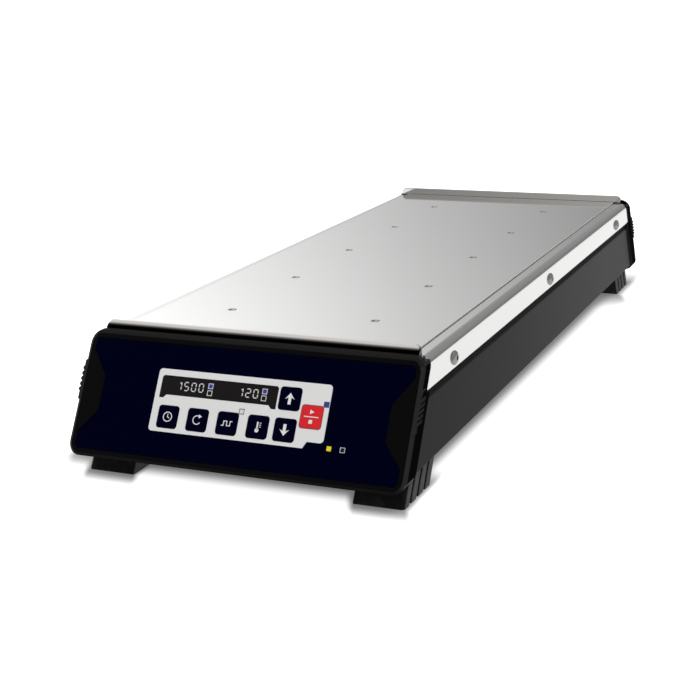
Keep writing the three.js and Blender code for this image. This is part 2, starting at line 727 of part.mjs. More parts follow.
const keys = {
  key_timer: [keyColumn(0), keyRow, NAVY_FILM],
  key_speed: [keyColumn(1), keyRow, NAVY_FILM],
  key_pulse: [keyColumn(2), keyRow, NAVY_FILM],
  key_heat: [keyColumn(3), keyRow, NAVY_FILM],
  key_down: [arrowColumn, keyRow, NAVY_FILM],
  key_up: [arrowColumn, upRow, NAVY_FILM],
  key_start_stop: [startColumn, (keyRow + upRow) / 2, RED_FILM],
};

// Lamps in the panel, each beside a key's corner, and lamps in the overlay beside the notch
const panelLamps = {
  lamp_run: [startColumn + LAMP_KEY_OFFSET, (keyRow + upRow) / 2 + LAMP_KEY_OFFSET],
  lamp_pulse: [keyColumn(2) + LAMP_KEY_OFFSET, keyRow + LAMP_KEY_OFFSET],
};
const overlayLamps = {
  lamp_heating: [panelRight + HEAT_LAMP_INSET, panelBottom + HEAT_LAMP_RISE],
  lamp_hot: [panelRight + HEAT_LAMP_INSET + HEAT_LAMP_PITCH, panelBottom + HEAT_LAMP_RISE],
};

// Outline of the overlay film, grown outwards by a clearance
function overlayOutline(grow) {
  const top = faceEdge - OVERLAY_MARGIN;
  const bottom = faceFoot + OVERLAY_MARGIN;
  const half = capHalfWidth - CAP_CHAMFER - OVERLAY_MARGIN;
  const levels = OVERLAY_WAIST_SHARES.map((share) => top + (bottom - top) * share);
  const right = [
    [half - OVERLAY_CORNER + grow, bottom - grow],
    [half + grow, bottom + OVERLAY_CORNER - grow],
    [half + grow, levels[3]],
    [half - OVERLAY_WAIST + grow, levels[2]],
    [half - OVERLAY_WAIST + grow, levels[1]],
    [half + grow, levels[0]],
    [half + grow, top - OVERLAY_CORNER + grow],
    [half - OVERLAY_CORNER + grow, top + grow],
  ];
  const left = right.map(([x, v]) => [-x, v]).reverse();
  return shapeFrom([...right, ...left]);
}

// Outline of the keypad panel, with its notch at the lower right corner
function panelOutline(grow) {
  const r = PANEL_CORNER;
  const notch = panelBottom + NOTCH_HEIGHT;
  const shape = new THREE.Shape();
  shape.absarc(panelLeft + r, panelBottom + r, r + grow, Math.PI, Math.PI * 1.5);
  shape.lineTo(panelRight - NOTCH_LENGTH - r + grow, panelBottom - grow);
  shape.lineTo(panelRight - NOTCH_LENGTH + grow, notch - grow);
  shape.absarc(panelRight - r, notch + r, r + grow, -Math.PI / 2, 0);
  shape.absarc(panelRight - r, panelTop - r, r + grow, 0, Math.PI / 2);
  shape.absarc(panelLeft + r, panelTop - r, r + grow, Math.PI / 2, Math.PI);
  shape.closePath();
  return shape;
}

// Outline of the display window, with a small tab at each lower corner
function windowOutline(grow) {
  const bottom = windowBottom - grow;
  const tabBottom = bottom - WINDOW_TAB_DROP;
  const left = windowLeft - grow;
  const right = windowRight + grow;
  const top = windowTop + grow;
  return shapeFrom([
    [left, tabBottom],
    [left + WINDOW_TAB_WIDTH, tabBottom],
    [left + WINDOW_TAB_WIDTH + WINDOW_TAB_DROP, bottom],
    [right - WINDOW_TAB_WIDTH - WINDOW_TAB_DROP, bottom],
    [right - WINDOW_TAB_WIDTH, tabBottom],
    [right, tabBottom],
    [right, top - WINDOW_CORNER],
    [right - WINDOW_CORNER, top],
    [left + WINDOW_CORNER, top],
    [left, top - WINDOW_CORNER],
  ]);
}

// Square holes for the light pipes, through a layer of the face
function lampHoles(lamps, z0, z1) {
  const half = LAMP_SIZE / 2 + FIT_GAP;
  return Object.values(lamps).map(([x, v]) => block([x - half, v - half, z0], [x + half, v + half, z1]));
}

// Bosses that hold the control board by its corners, each with a pin through the board
const boardLeft = panelLeft - BOARD_SIDE_MARGIN;
const boardRight = overlayLamps.lamp_hot[0] + BOARD_SIDE_MARGIN;
const boardTop = faceEdge - BOARD_TOP_DROP;
const boardBottom = panelBottom - BOARD_FOOT_MARGIN;
const bossRadius = BOARD_PIN_RADIUS + BOSS_WALL;
const boardPinPlaces = [boardLeft, boardRight].flatMap((x) => [boardTop, boardBottom].map((v) => [
  x - Math.sign(x) * bossRadius,
  v + (v === boardTop ? -bossRadius : bossRadius),
]));

// Front cap: the shell with a pocket for the overlay, the keypad opening, lamp holes and bosses
function frontEndCap() {
  const pocketFloor = -OVERLAY_THICKNESS - FIT_GAP;
  const pocket = solid(slab(overlayOutline(FIT_GAP), pocketFloor, OVERRUN));
  const opening = solid(slab(panelOutline(-PANEL_LEDGE), -CAP_FACE_WALL - OVERRUN, OVERRUN));
  const holes = lampHoles({ ...panelLamps, ...overlayLamps }, -CAP_FACE_WALL - OVERRUN, OVERRUN);
  const bossRoot = pocketFloor - (CAP_FACE_WALL + pocketFloor) / 2;
  const pinEnd = boardFront - 2 * BOARD_THICKNESS;
  const boss = join([
    rod(bossRadius, boardFront + FIT_GAP, bossRoot),
    rod(BOARD_PIN_RADIUS, pinEnd, bossRoot),
  ]);
  const bosses = boardPinPlaces.map(([x, v]) => onFace(moved(boss, x, v, 0)));
  return cut(join([capShell(), ...bosses]), [pocket, opening, ...holes].map(onFace));
}

function frontOverlay() {
  const film = solid(slab(overlayOutline(0), -OVERLAY_THICKNESS, 0));
  const opening = solid(slab(panelOutline(FIT_GAP), -OVERLAY_THICKNESS - OVERRUN, OVERRUN));
  const holes = lampHoles(overlayLamps, -OVERLAY_THICKNESS - OVERRUN, OVERRUN);
  return cut(film, [opening, ...holes]);
}

function keypadPanel() {
  const film = solid(slab(panelOutline(0), -OVERLAY_THICKNESS, 0));
  const z0 = -OVERLAY_THICKNESS - OVERRUN;
  const window = solid(slab(windowOutline(FIT_GAP), z0, OVERRUN));
  const keyHoles = Object.values(keys).map(([x, v]) => {
    const hole = roundedSquare([x, v], KEY_SIZE + 2 * FIT_GAP, KEY_CORNER + FIT_GAP);
    return solid(slab(hole, z0, OVERRUN, KEY_ARC_FACETS));
  });
  return cut(film, [window, ...keyHoles, ...lampHoles(panelLamps, z0, OVERRUN)]);
}

// A key: its cap in the panel's hole and a stem that reaches the board when it is pressed
function keyBody([x, v]) {
  const outline = roundedSquare([x, v], KEY_SIZE, KEY_CORNER);
  const cap = solid(slab(outline, -OVERLAY_THICKNESS, KEY_STAND, KEY_ARC_FACETS));
  const stem = moved(rod(KEY_STEM_RADIUS, boardFront + KEY_TRAVEL + FIT_GAP, 0), x, v, 0);
  return join([cap, stem]);
}

// A light pipe from the board to the face
function lamp([x, v]) {
  return block(
    [x - LAMP_SIZE / 2, v - LAMP_SIZE / 2, boardFront + FIT_GAP],
    [x + LAMP_SIZE / 2, v + LAMP_SIZE / 2, 0],
  );
}

function displayModule() {
  return block(
    [windowLeft + DISPLAY_MARGIN, windowBottom + DISPLAY_MARGIN, boardFront + FIT_GAP],
    [windowRight - DISPLAY_MARGIN, windowTop - DISPLAY_MARGIN, -OVERLAY_THICKNESS - FIT_GAP],
  );
}

// Control board with its pin holes, and two chips on its rear side
function controlBoard() {
  const back = boardFront - BOARD_THICKNESS;
  const board = block([boardLeft, boardBottom, back], [boardRight, boardTop, boardFront]);
  const holes = boardPinPlaces.map(([x, v]) => moved(
    rod(BOARD_PIN_RADIUS + FIT_GAP, back - OVERRUN, boardFront + OVERRUN),
    x, v, 0,
  ));
  const chipV = (boardTop + boardBottom) / 2;
  const chips = [keyColumn(0), keyColumn(2)].map((x) => block(
    [x - CHIP_SIZE / 2, chipV - CHIP_SIZE / 2, back - CHIP_HEIGHT],
    [x + CHIP_SIZE / 2, chipV + CHIP_SIZE / 2, back + BOARD_THICKNESS / 2],
  ));
  return join([cut(board, holes), ...chips]);
}

// One rotor: a shaft and a yoke with two bonded magnets
function rotor() {
  const yokeUnder = yokeTop - YOKE_THICKNESS;
  const shaft = rod(SHAFT_RADIUS, deckTop - BUSH_LENGTH, yokeTop);
  const reach = MAGNET_SPREAD + MAGNET_RADIUS + YOKE_RIM;
  const half = MAGNET_RADIUS + YOKE_RIM;
  const yoke = solid(slab(roundedRectangle([-reach, -half], [reach, half], half), yokeUnder, yokeTop));
  const magnets = [-MAGNET_SPREAD, MAGNET_SPREAD].map((x) => moved(
    rod(MAGNET_RADIUS, yokeUnder + YOKE_THICKNESS / 2, magnetTop, COARSE_FACETS),
    x, 0, 0,
  ));
  return join([shaft, yoke, ...magnets]);
}

// Stator board: one long board on the deck, with a coil pack soldered on at each station
function statorBoard() {
  const halfWidth = deckHalfWidth - STATOR_MARGIN;
  const halfLength = deckHalfLength - STATOR_MARGIN;
  const bottom = deckTop + SEAT_GAP;
  const board = centredBlock(halfWidth, [-halfLength, halfLength], [bottom, statorTop]);
  const coil = rod(COIL_RADIUS, bottom + BOARD_THICKNESS / 2, coilTop, COARSE_FACETS);
  const bore = rod(SHAFT_RADIUS + FIT_GAP, bottom - OVERRUN, coilTop + OVERRUN);
  const coils = stations().map(([x, y]) => moved(coil, x, y, 0));
  return cut(join([board, ...coils]), stations().map(([x, y]) => moved(bore, x, y, 0)));
}

// Drive deck: an inverted channel that stands on the housing's floor, with a bush for each rotor
const deckHalfWidth = innerHalfWidth - DECK_SIDE_GAP;
const deckHalfLength = rearPanelFace - INLET_DEPTH - DECK_END_GAP;

function driveDeck() {
  const span = [-deckHalfLength, deckHalfLength];
  const outer = centredBlock(deckHalfWidth, span, [floorTop + SEAT_GAP, deckTop]);
  const under = centredBlock(
    deckHalfWidth - DECK_SHEET,
    [-deckHalfLength - OVERRUN, deckHalfLength + OVERRUN],
    [floorTop - OVERRUN, deckTop - DECK_SHEET],
  );
  const bush = rod(SHAFT_RADIUS + BUSH_WALL, deckTop - BUSH_LENGTH, deckTop - DECK_SHEET / 2);
  const bore = rod(SHAFT_RADIUS + FIT_GAP, deckTop - BUSH_LENGTH - OVERRUN, deckTop + OVERRUN);
  const bushes = stations().map(([x, y]) => moved(bush, x, y, 0));
  const bores = stations().map(([x, y]) => moved(bore, x, y, 0));
  return cut(join([cut(outer, [under]), ...bushes]), bores);
}

// Power supply board under the deck, with its larger components
const supplyUnder = floorTop + SUPPLY_STAND;
const supplyTop = supplyUnder + BOARD_THICKNESS;
const supplyPinPlaces = cornerSigns.map(([sx, sy]) => [
  sx * (SUPPLY_WIDTH / 2 - SUPPLY_INSET),
  sy * (SUPPLY_LENGTH / 2 - SUPPLY_INSET),
]);

function powerSupplyBoard() {
  const board = block(
    [-SUPPLY_WIDTH / 2, -SUPPLY_LENGTH / 2, supplyUnder],
    [SUPPLY_WIDTH / 2, SUPPLY_LENGTH / 2, supplyTop],
  );
  const holes = supplyPinPlaces.map(([x, y]) => moved(
    rod(BOARD_PIN_RADIUS + FIT_GAP, supplyUnder - OVERRUN, supplyTop + OVERRUN),
    x, y, 0,
  ));
  const top = deckTop - DECK_SHEET - supplyAir;
  const sunk = supplyTop - BOARD_THICKNESS / 2;
  const transformer = block(
    [-TRANSFORMER_WIDTH / 2, TRANSFORMER_SETBACK, sunk],
    [TRANSFORMER_WIDTH / 2, TRANSFORMER_SETBACK + TRANSFORMER_LENGTH, top],
  );
  const capacitors = [-CAPACITOR_SPREAD, CAPACITOR_SPREAD].map((x) => moved(
    rod(CAPACITOR_RADIUS, sunk, top, COARSE_FACETS),
    x, -CAPACITOR_SETBACK, 0,
  ));
  return join([cut(board, holes), transformer, ...capacitors]);
}

// Posts on the housing's floor that hold the supply board by pins through its corners
function supplyPosts() {
  const root = floorTop - HOUSING_SHEET / 2;
  const post = join([
    rod(STANDOFF_RADIUS, root, supplyUnder - SEAT_GAP),
    rod(BOARD_PIN_RADIUS, root, supplyTop + BOARD_THICKNESS),
  ]);
  return supplyPinPlaces.map(([x, y]) => moved(post, x, y, 0));
}

// Heating stack: each layer fits inside the cover's opening
function stackLayer(z0, z1) {
  const halfWidth = openingHalfWidth - STACK_MARGIN;
  const halfLength = openingHalfLength - STACK_MARGIN;
  return centredBlock(halfWidth, [-halfLength, halfLength], [z0, z1]);
}

const cutoutY = STATION_PITCH_Y / 2 - CUTOUT_LENGTH / 2;

function insulationBoard() {
  const through = [insulationUnder - OVERRUN, insulationTop + OVERRUN];
  const probeHole = rod(PROBE_RADIUS + FIT_GAP, ...through, COARSE_FACETS);
  const cutoutHole = centredBlock(
    CUTOUT_WIDTH / 2 + FIT_GAP,
    [cutoutY - FIT_GAP, cutoutY + CUTOUT_LENGTH + FIT_GAP],
    through,
  );
  return cut(stackLayer(insulationUnder, insulationTop), [probeHole, cutoutHole]);
}

// Temperature probe: a disc against the heater and a stem through the insulation
function temperatureProbe() {
  const top = heaterTop - HEATER_THICKNESS - SEAT_GAP;
  const shoulder = top - insulationThickness / 2;
  return turned([
    [0, shoulder - PROBE_STEM_LENGTH],
    [PROBE_STEM_RADIUS, shoulder - PROBE_STEM_LENGTH],
    [PROBE_STEM_RADIUS, shoulder],
    [PROBE_RADIUS, shoulder],
    [PROBE_RADIUS, top],
    [0, top],
  ], COARSE_FACETS);
}

// Over-temperature cutout: a flat switch let into the insulation, with two solder tags
function thermalCutout() {
  const top = heaterTop - HEATER_THICKNESS - SEAT_GAP;
  const bottom = insulationUnder;
  const body = centredBlock(CUTOUT_WIDTH / 2, [cutoutY, cutoutY + CUTOUT_LENGTH], [bottom, top]);
  const tagY = cutoutY + CUTOUT_LENGTH / 2;
  const tags = [-CUTOUT_TAG_SPREAD, CUTOUT_TAG_SPREAD].map((x) => block(
    [x - CUTOUT_TAG_WIDTH / 2, tagY, bottom - CUTOUT_TAG_REACH],
    [x + CUTOUT_TAG_WIDTH / 2, tagY + CUTOUT_TAG_THICKNESS, (bottom + top) / 2],
  ));
  return join([body, ...tags]);
}

// Rear panel layout: one row of fittings across the middle of the well
const wellBottom = floorTop + WELL_LIFT;
const wellTop = capTop - WELL_DROP;
const fittingRow = (wellBottom + wellTop) / 2;

// A flanged body that passes through the rear panel: centre x, half sizes, depth behind the panel
function flangedBody(x, width, height, depth, corner) {
  const flange = roundedRectangle(
    [x - width / 2 - FLANGE_RIM, fittingRow - height / 2 - FLANGE_RIM],
    [x + width / 2 + FLANGE_RIM, fittingRow + height / 2 + FLANGE_RIM],
    corner,
  );
  const front = rearPanelFace + SEAT_GAP;
  const body = block(
    [x - width / 2, rearPanelFace - depth, fittingRow - height / 2],
    [x + width / 2, front + FLANGE_THICKNESS / 2, fittingRow + height / 2],
  );
  return join([alongY(flange, front, front + FLANGE_THICKNESS), body]);
}

// Rear panel: an upright sheet between the housing's walls, with a hole for each fitting
function rearPanel() {
  const sheet = centredBlock(
    innerHalfWidth - FIT_GAP,
    [rearPanelFace - REAR_PANEL_SHEET, rearPanelFace],
    [floorTop + SEAT_GAP, bendCentre],
  );
  const hole = (x, width, height) => block(
    [x - width / 2 - FIT_GAP, rearPanelFace - REAR_PANEL_SHEET - OVERRUN, fittingRow - height / 2 - FIT_GAP],
    [x + width / 2 + FIT_GAP, rearPanelFace + OVERRUN, fittingRow + height / 2 + FIT_GAP],
  );
  const drill = rod(FUSE_RADIUS + FIT_GAP, -REAR_PANEL_SHEET - OVERRUN, OVERRUN, FINE_FACETS);
  const fuseHole = moved(toward(drill, new THREE.Vector3(0, 1, 0)), FUSE_OFFSET, rearPanelFace, fittingRow);
  const lugNotches = [-footX, footX].map((x) => block(
    [x - LUG_WIDTH / 2 - FIT_GAP, rearPanelFace - REAR_PANEL_SHEET - OVERRUN, floorTop - OVERRUN],
    [x + LUG_WIDTH / 2 + FIT_GAP, rearPanelFace + OVERRUN, lugFloor + LUG_HEIGHT + FIT_GAP],
  ));
  return cut(sheet, [
    ...lugNotches,
    hole(INLET_OFFSET, INLET_WIDTH, INLET_HEIGHT),
    hole(SWITCH_OFFSET, SWITCH_WIDTH, SWITCH_HEIGHT),
    fuseHole,
  ]);
}

// Mains inlet: an open socket with two cut corners, floor at the back
const inletFront = rearPanelFace + SEAT_GAP + FLANGE_THICKNESS;
const inletFloor = rearPanelFace - INLET_DEPTH + INLET_WALL;

function mainsInlet() {
  const left = INLET_OFFSET - INLET_WIDTH / 2 + INLET_WALL;
  const right = INLET_OFFSET + INLET_WIDTH / 2 - INLET_WALL;
  const low = fittingRow - INLET_HEIGHT / 2 + INLET_WALL;
  const high = fittingRow + INLET_HEIGHT / 2 - INLET_WALL;
  const socket = alongY(shapeFrom([
    [left, low],
    [right, low],
    [right, high - INLET_CORNER],
    [right - INLET_CORNER, high],
    [left + INLET_CORNER, high],
    [left, high - INLET_CORNER],
  ]), inletFloor, inletFront + OVERRUN);
  const shell = cut(flangedBody(INLET_OFFSET, INLET_WIDTH, INLET_HEIGHT, INLET_DEPTH, FLANGE_RIM), [socket]);
  return join([shell, ...inletPins()]);
}

// Three flat pins that stand on the socket's floor; the earth pin sits higher
function inletPins() {
  const places = [[-PIN_PITCH, -PIN_RISE], [0, PIN_RISE], [PIN_PITCH, -PIN_RISE]];
  return places.map(([x, z]) => block(
    [INLET_OFFSET + x - PIN_WIDTH / 2, inletFloor - INLET_WALL / 2, fittingRow + z - PIN_HEIGHT / 2],
    [INLET_OFFSET + x + PIN_WIDTH / 2, inletFront - PIN_SHORTFALL, fittingRow + z + PIN_HEIGHT / 2],
  ));
}

function switchBody() {
  const mouth = block(
    [
      SWITCH_OFFSET - SWITCH_WIDTH / 2 + SWITCH_WALL,
      rearPanelFace - SWITCH_DEPTH + SWITCH_WALL,
      fittingRow - SWITCH_HEIGHT / 2 + SWITCH_WALL,
    ],
    [
      SWITCH_OFFSET + SWITCH_WIDTH / 2 - SWITCH_WALL,
      inletFront + OVERRUN,
      fittingRow + SWITCH_HEIGHT / 2 - SWITCH_WALL,
    ],
  );
  return cut(flangedBody(SWITCH_OFFSET, SWITCH_WIDTH, SWITCH_HEIGHT, SWITCH_DEPTH, FLANGE_RIM / 2), [mouth]);
}

// Rocker: a shallow roof that tilts about a pivot in the switch body, drawn level about its pivot
const rockerPivotY = rearPanelFace + SEAT_GAP;

function rocker() {
  const half = SWITCH_HEIGHT / 2 - SWITCH_WALL - ROCKER_END_GAP;
  const side = SWITCH_WIDTH / 2 - SWITCH_WALL - FIT_GAP;
  return alongX(shapeFrom([
    [-ROCKER_BACK, -half / 2],
    [ROCKER_EDGE_STAND, -half],
    [ROCKER_STAND + ROCKER_EDGE_STAND, -half],
    [ROCKER_STAND, 0],
    [ROCKER_STAND + ROCKER_EDGE_STAND, half],
    [ROCKER_EDGE_STAND, half],
    [-ROCKER_BACK, half / 2],
  ]), -side, side);
}

// Fuse holder: a round body through the panel, open at the front for its cap
function fuseHolder() {
  const bore = FUSE_RADIUS - FUSE_WALL;
  const body = turned([
    [0, -FUSE_DEPTH],
    [FUSE_RADIUS, -FUSE_DEPTH],
    [FUSE_RADIUS, SEAT_GAP],
    [FUSE_RADIUS + FLANGE_RIM / 2, SEAT_GAP],
    [FUSE_RADIUS + FLANGE_RIM / 2, SEAT_GAP + FLANGE_THICKNESS],
    [bore, SEAT_GAP + FLANGE_THICKNESS],
    [bore, -FUSE_DEPTH + FUSE_WALL],
    [0, -FUSE_DEPTH + FUSE_WALL],
  ], FINE_FACETS);
  return moved(toward(body, new THREE.Vector3(0, 1, 0)), FUSE_OFFSET, rearPanelFace, fittingRow);
}

function fuseCap() {
  const seat = SEAT_GAP + FLANGE_THICKNESS + FIT_GAP;
  const stem = FUSE_RADIUS - FUSE_WALL - 2 * FIT_GAP;
  const knob = turned([
    [0, seat - FUSE_STEM_LENGTH],
    [stem, seat - FUSE_STEM_LENGTH],
    [stem, seat],
    [FUSE_CAP_RADIUS, seat],
    [FUSE_CAP_RADIUS, seat + FUSE_CAP_HEIGHT],
    [0, seat + FUSE_CAP_HEIGHT],
  ], FINE_FACETS);
  const slot = block(
    [-FUSE_CAP_RADIUS - OVERRUN, -FUSE_SLOT_WIDTH / 2, seat + FUSE_CAP_HEIGHT - FUSE_SLOT_DEPTH],
    [FUSE_CAP_RADIUS + OVERRUN, FUSE_SLOT_WIDTH / 2, seat + FUSE_CAP_HEIGHT + OVERRUN],
  );
  const slotted = toward(cut(knob, [slot]), new THREE.Vector3(0, 1, 0));
  return moved(slotted, FUSE_OFFSET, rearPanelFace, fittingRow);
}

// Rear cap: the shell turned about, with a walled well that opens to the rear panel
function rearEndCap() {
  const wellShape = (grow) => roundedRectangle(
    [-WELL_HALF_WIDTH - grow, wellBottom - grow],
    [WELL_HALF_WIDTH + grow, wellTop + grow],
    WELL_CORNER + grow,
  );
  const reach = faceAt(capBottom);
  const tube = alongY(wellShape(WELL_WALL), rearPanelFace + FIT_GAP, reach);
  const filled = turnAbout(leaned(alongY(
    roundedRectangle([-capHalfWidth, capBottom], [capHalfWidth, capTop], CAP_CORNER),
    CAP_FACE_WALL / 2, reach,
  )));
  const shell = join([turnAbout(capShell()), tube.intersect(filled)]);
  return cut(shell, [alongY(wellShape(0), rearPanelFace - OVERRUN, reach + OVERRUN)]);
}

// Foot: a leaning rubber block with grooves down its outer side and a screw recess beneath
const footDepths = [FOOT_SETBACK, FOOT_SETBACK + FOOT_LENGTH];

function frontFoot(side) {
  const inner = side * (housingHalfWidth - FOOT_INSET - FOOT_WIDTH);
  const outer = side * (housingHalfWidth - FOOT_INSET);
  const edge = side * FOOT_CHAMFER;
  const [front, back] = footDepths;
  const top = housingFloor - SEAT_GAP;
  const plan = shapeFrom([
    [inner, front],
    [outer - edge, front],
    [outer, front + FOOT_CHAMFER],
    [outer, back],
    [inner, back],
  ]);
  const grooves = [];
  const ribWidth = (FOOT_LENGTH - FOOT_GROOVE_COUNT * FOOT_GROOVE_WIDTH) / (FOOT_GROOVE_COUNT + 1);
  for (let i = 0; i < FOOT_GROOVE_COUNT; i += 1) {
    const start = front + ribWidth + i * (ribWidth + FOOT_GROOVE_WIDTH);
    const xs = [outer - side * FOOT_GROOVE_DEPTH, outer + side * OVERRUN].sort((a, b) => a - b);
    grooves.push(block([xs[0], start, -OVERRUN], [xs[1], start + FOOT_GROOVE_WIDTH, top + OVERRUN]));
  }
  const leaning = leaned(cut(solid(slab(plan, 0, top)), grooves));
  const recess = turned([
    [0, -OVERRUN],
    [FOOT_RECESS_RADIUS, -OVERRUN],
    [FOOT_RECESS_RADIUS, top - FOOT_SCREW_SEAT],
    [SCREW_RADIUS + SCREW_HOLE_GAP, top - FOOT_SCREW_SEAT],
    [SCREW_RADIUS + SCREW_HOLE_GAP, top + OVERRUN],
    [0, top + OVERRUN],
  ], COARSE_FACETS);
  return cut(leaning, [moved(recess, side * footX, -footScrewY, 0)]);
}

// A screw through the right-hand skirt, at y = 0
function skirtScrew() {
  const screw = toward(buttonScrew(SCREW_LENGTH), new THREE.Vector3(1, 0, 0));
  return moved(screw, skirtHalfWidth + SEAT_GAP, 0, skirtScrewHeight);
}

// A screw up through a foot and the housing's floor into the cap's lug, at x = 0 and y = 0
function footScrew() {
  const screw = toward(buttonScrew(FOOT_SCREW_SEAT + SCREW_LENGTH), new THREE.Vector3(0, 0, -1));
  return moved(screw, 0, 0, housingFloor - FOOT_SCREW_SEAT - 2 * SEAT_GAP);
}

// Casing
place('base_housing', baseHousing(), DARK_PAINT);
place('top_cover', topCover(), STEEL);
place('work_plate', workPlate(), STEEL);
place('front_end_cap', frontEndCap(), BLACK_PLASTIC);
place('rear_end_cap', rearEndCap(), BLACK_PLASTIC);
const frontLeftFoot = frontFoot(-1);
const frontRightFoot = frontFoot(1);
place('foot_front_left', frontLeftFoot, RUBBER);
place('foot_front_right', frontRightFoot, RUBBER);
place('foot_rear_left', turnAbout(frontRightFoot), RUBBER);
place('foot_rear_right', turnAbout(frontLeftFoot), RUBBER);

// Front controls
place('front_overlay', frontOverlay(), NAVY_FILM, frontFace);
place('keypad_panel', keypadPanel(), GREY_FILM, frontFace);
place('display_window', solid(slab(windowOutline(0), -OVERLAY_THICKNESS, 0)), SMOKED_GLASS, frontFace);
place('display_module', displayModule(), BLACK_PLASTIC, frontFace);
for (const [name, spot] of Object.entries({ ...panelLamps, ...overlayLamps })) {
  place(name, lamp(spot), LAMP_PLASTIC, frontFace);
}
place('control_board', controlBoard(), BOARD_GREEN, frontFace);
for (const [name, [x, v, finish]] of Object.entries(keys)) {
  place(name, keyBody([x, v]), finish, frontFace);
}

// Heating
place('heat_spreader', stackLayer(spreaderTop - SPREADER_THICKNESS, spreaderTop), ALUMINIUM);
place('heater_mat', stackLayer(heaterTop - HEATER_THICKNESS, heaterTop), SILICONE);
place('insulation_board', insulationBoard(), WOOL_BOARD);
place('temperature_probe', temperatureProbe(), STEEL);
place('thermal_cutout', thermalCutout(), BLACK_PLASTIC);

// Drive
place('drive_deck', driveDeck(), STEEL);
place('stator_board', statorBoard(), BOARD_GREEN);
stations().forEach(([x, y], i) => {
  const number = String(i + 1).padStart(2, '0');
  place(`magnet_rotor_${number}`, rotor(), ALUMINIUM).position.set(x, y, 0);
});

// Power
place('power_supply_board', powerSupplyBoard(), BOARD_GREEN);
place('rear_panel', rearPanel(), DARK_PAINT);
place('mains_inlet', mainsInlet(), BLACK_PLASTIC);
place('switch_body', switchBody(), BLACK_PLASTIC);
const rockerMesh = place('power_rocker', rocker(), BLACK_PLASTIC);
rockerMesh.position.set(SWITCH_OFFSET, rockerPivotY, fittingRow);
rockerMesh.rotation.x = THREE.MathUtils.degToRad(ROCKER_TILT);
place('fuse_holder', fuseHolder(), BLACK_PLASTIC);
place('fuse_cap', fuseCap(), BLACK_PLASTIC);

// Fasteners
for (const [side, turn] of [['right', 0], ['left', Math.PI]]) {
  skirtScrewPlaces.forEach((y, i) => {
    const screw = place(`skirt_screw_${side}_${i + 1}`, skirtScrew(), STEEL);
    screw.position.y = y;
    screw.rotation.z = turn;
  });
}
cornerSigns.forEach(([sx, sy], i) => {
  place(`foot_screw_${i + 1}`, footScrew(), STEEL).position.set(sx * footX, sy * footScrewY, 0);
});

export default model;
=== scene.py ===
import logging
import math
from dataclasses import dataclass, field
from enum import Enum
from functools import lru_cache
from typing import Callable, Mapping, Sequence

import bmesh
import bpy
from mathutils import Matrix, Vector


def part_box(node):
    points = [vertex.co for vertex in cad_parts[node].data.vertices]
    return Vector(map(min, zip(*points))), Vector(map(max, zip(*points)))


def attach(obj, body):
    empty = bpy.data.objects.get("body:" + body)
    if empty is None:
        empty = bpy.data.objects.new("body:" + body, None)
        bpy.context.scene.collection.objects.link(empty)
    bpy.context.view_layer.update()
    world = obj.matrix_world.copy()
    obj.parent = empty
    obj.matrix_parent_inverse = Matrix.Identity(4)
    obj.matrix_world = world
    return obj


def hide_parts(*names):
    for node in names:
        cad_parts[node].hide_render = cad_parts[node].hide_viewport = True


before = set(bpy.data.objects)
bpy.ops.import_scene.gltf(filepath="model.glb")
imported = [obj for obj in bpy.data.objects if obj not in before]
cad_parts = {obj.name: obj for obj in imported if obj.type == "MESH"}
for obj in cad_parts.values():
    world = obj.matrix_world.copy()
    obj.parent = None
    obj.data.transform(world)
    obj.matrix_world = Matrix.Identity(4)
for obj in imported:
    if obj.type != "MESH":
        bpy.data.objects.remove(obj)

# A long ten-place hotplate stirrer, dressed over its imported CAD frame.
# Sizes are millimetres in the CAD frame, and pieces are made in metres. The camera's place, the
# lamp's place and size, and the shader's coordinates are metres. Angles are degrees.

LOG = logging.getLogger("stirrer")
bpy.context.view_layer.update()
MM = 0.001
CHASSIS = "chassis"

# The upper edge of the end faces, at the plate's level, and their lean.
FACE_REACH = 238.9
PLATE_LEVEL = 74.0
FACE_LEAN = 60.0

# Least turn of a sheet's rounded edge, largest turn in a flat face, and points that count as one.
FOLD_TURN = 40.0
FLAT_TURN = 0.5
WELD = 0.002

# How far a stroke's corner may be mitred, the print's thickness, and a plain wave's line spacing.
MITRE_SHARE = 0.3
INK = 0.05
WAVE_PERIOD = 0.314

# The curve of display colours: a straight toe, then a power of the shifted value.
TOE_END = 0.04045
TOE_SLOPE = 12.92
CURVE_OFFSET = 0.055
CURVE_POWER = 2.4

Point = tuple[float, float]
Corner = tuple[float, float, float]
Rgba = tuple[float, float, float, float]
Socket = bpy.types.NodeSocket


def paint(code: str) -> Rgba:
    """Turns a display colour into the linear colour that shaders use.

    Args:
        code: Six hexadecimal digits, two for each of red, green and blue.

    Returns:
        Linear red, green and blue, and full opacity.
    """
    values = [int(code[i:i + 2], 16) / 255 for i in (0, 2, 4)]
    linear = [
        v / TOE_SLOPE if v <= TOE_END else ((v + CURVE_OFFSET) / (1 + CURVE_OFFSET)) ** CURVE_POWER
        for v in values
    ]
    return (*linear, 1.0)


def grey(level: float) -> Rgba:
    """A neutral linear colour of one level."""
    return (level, level, level, 1.0)


# Outlines


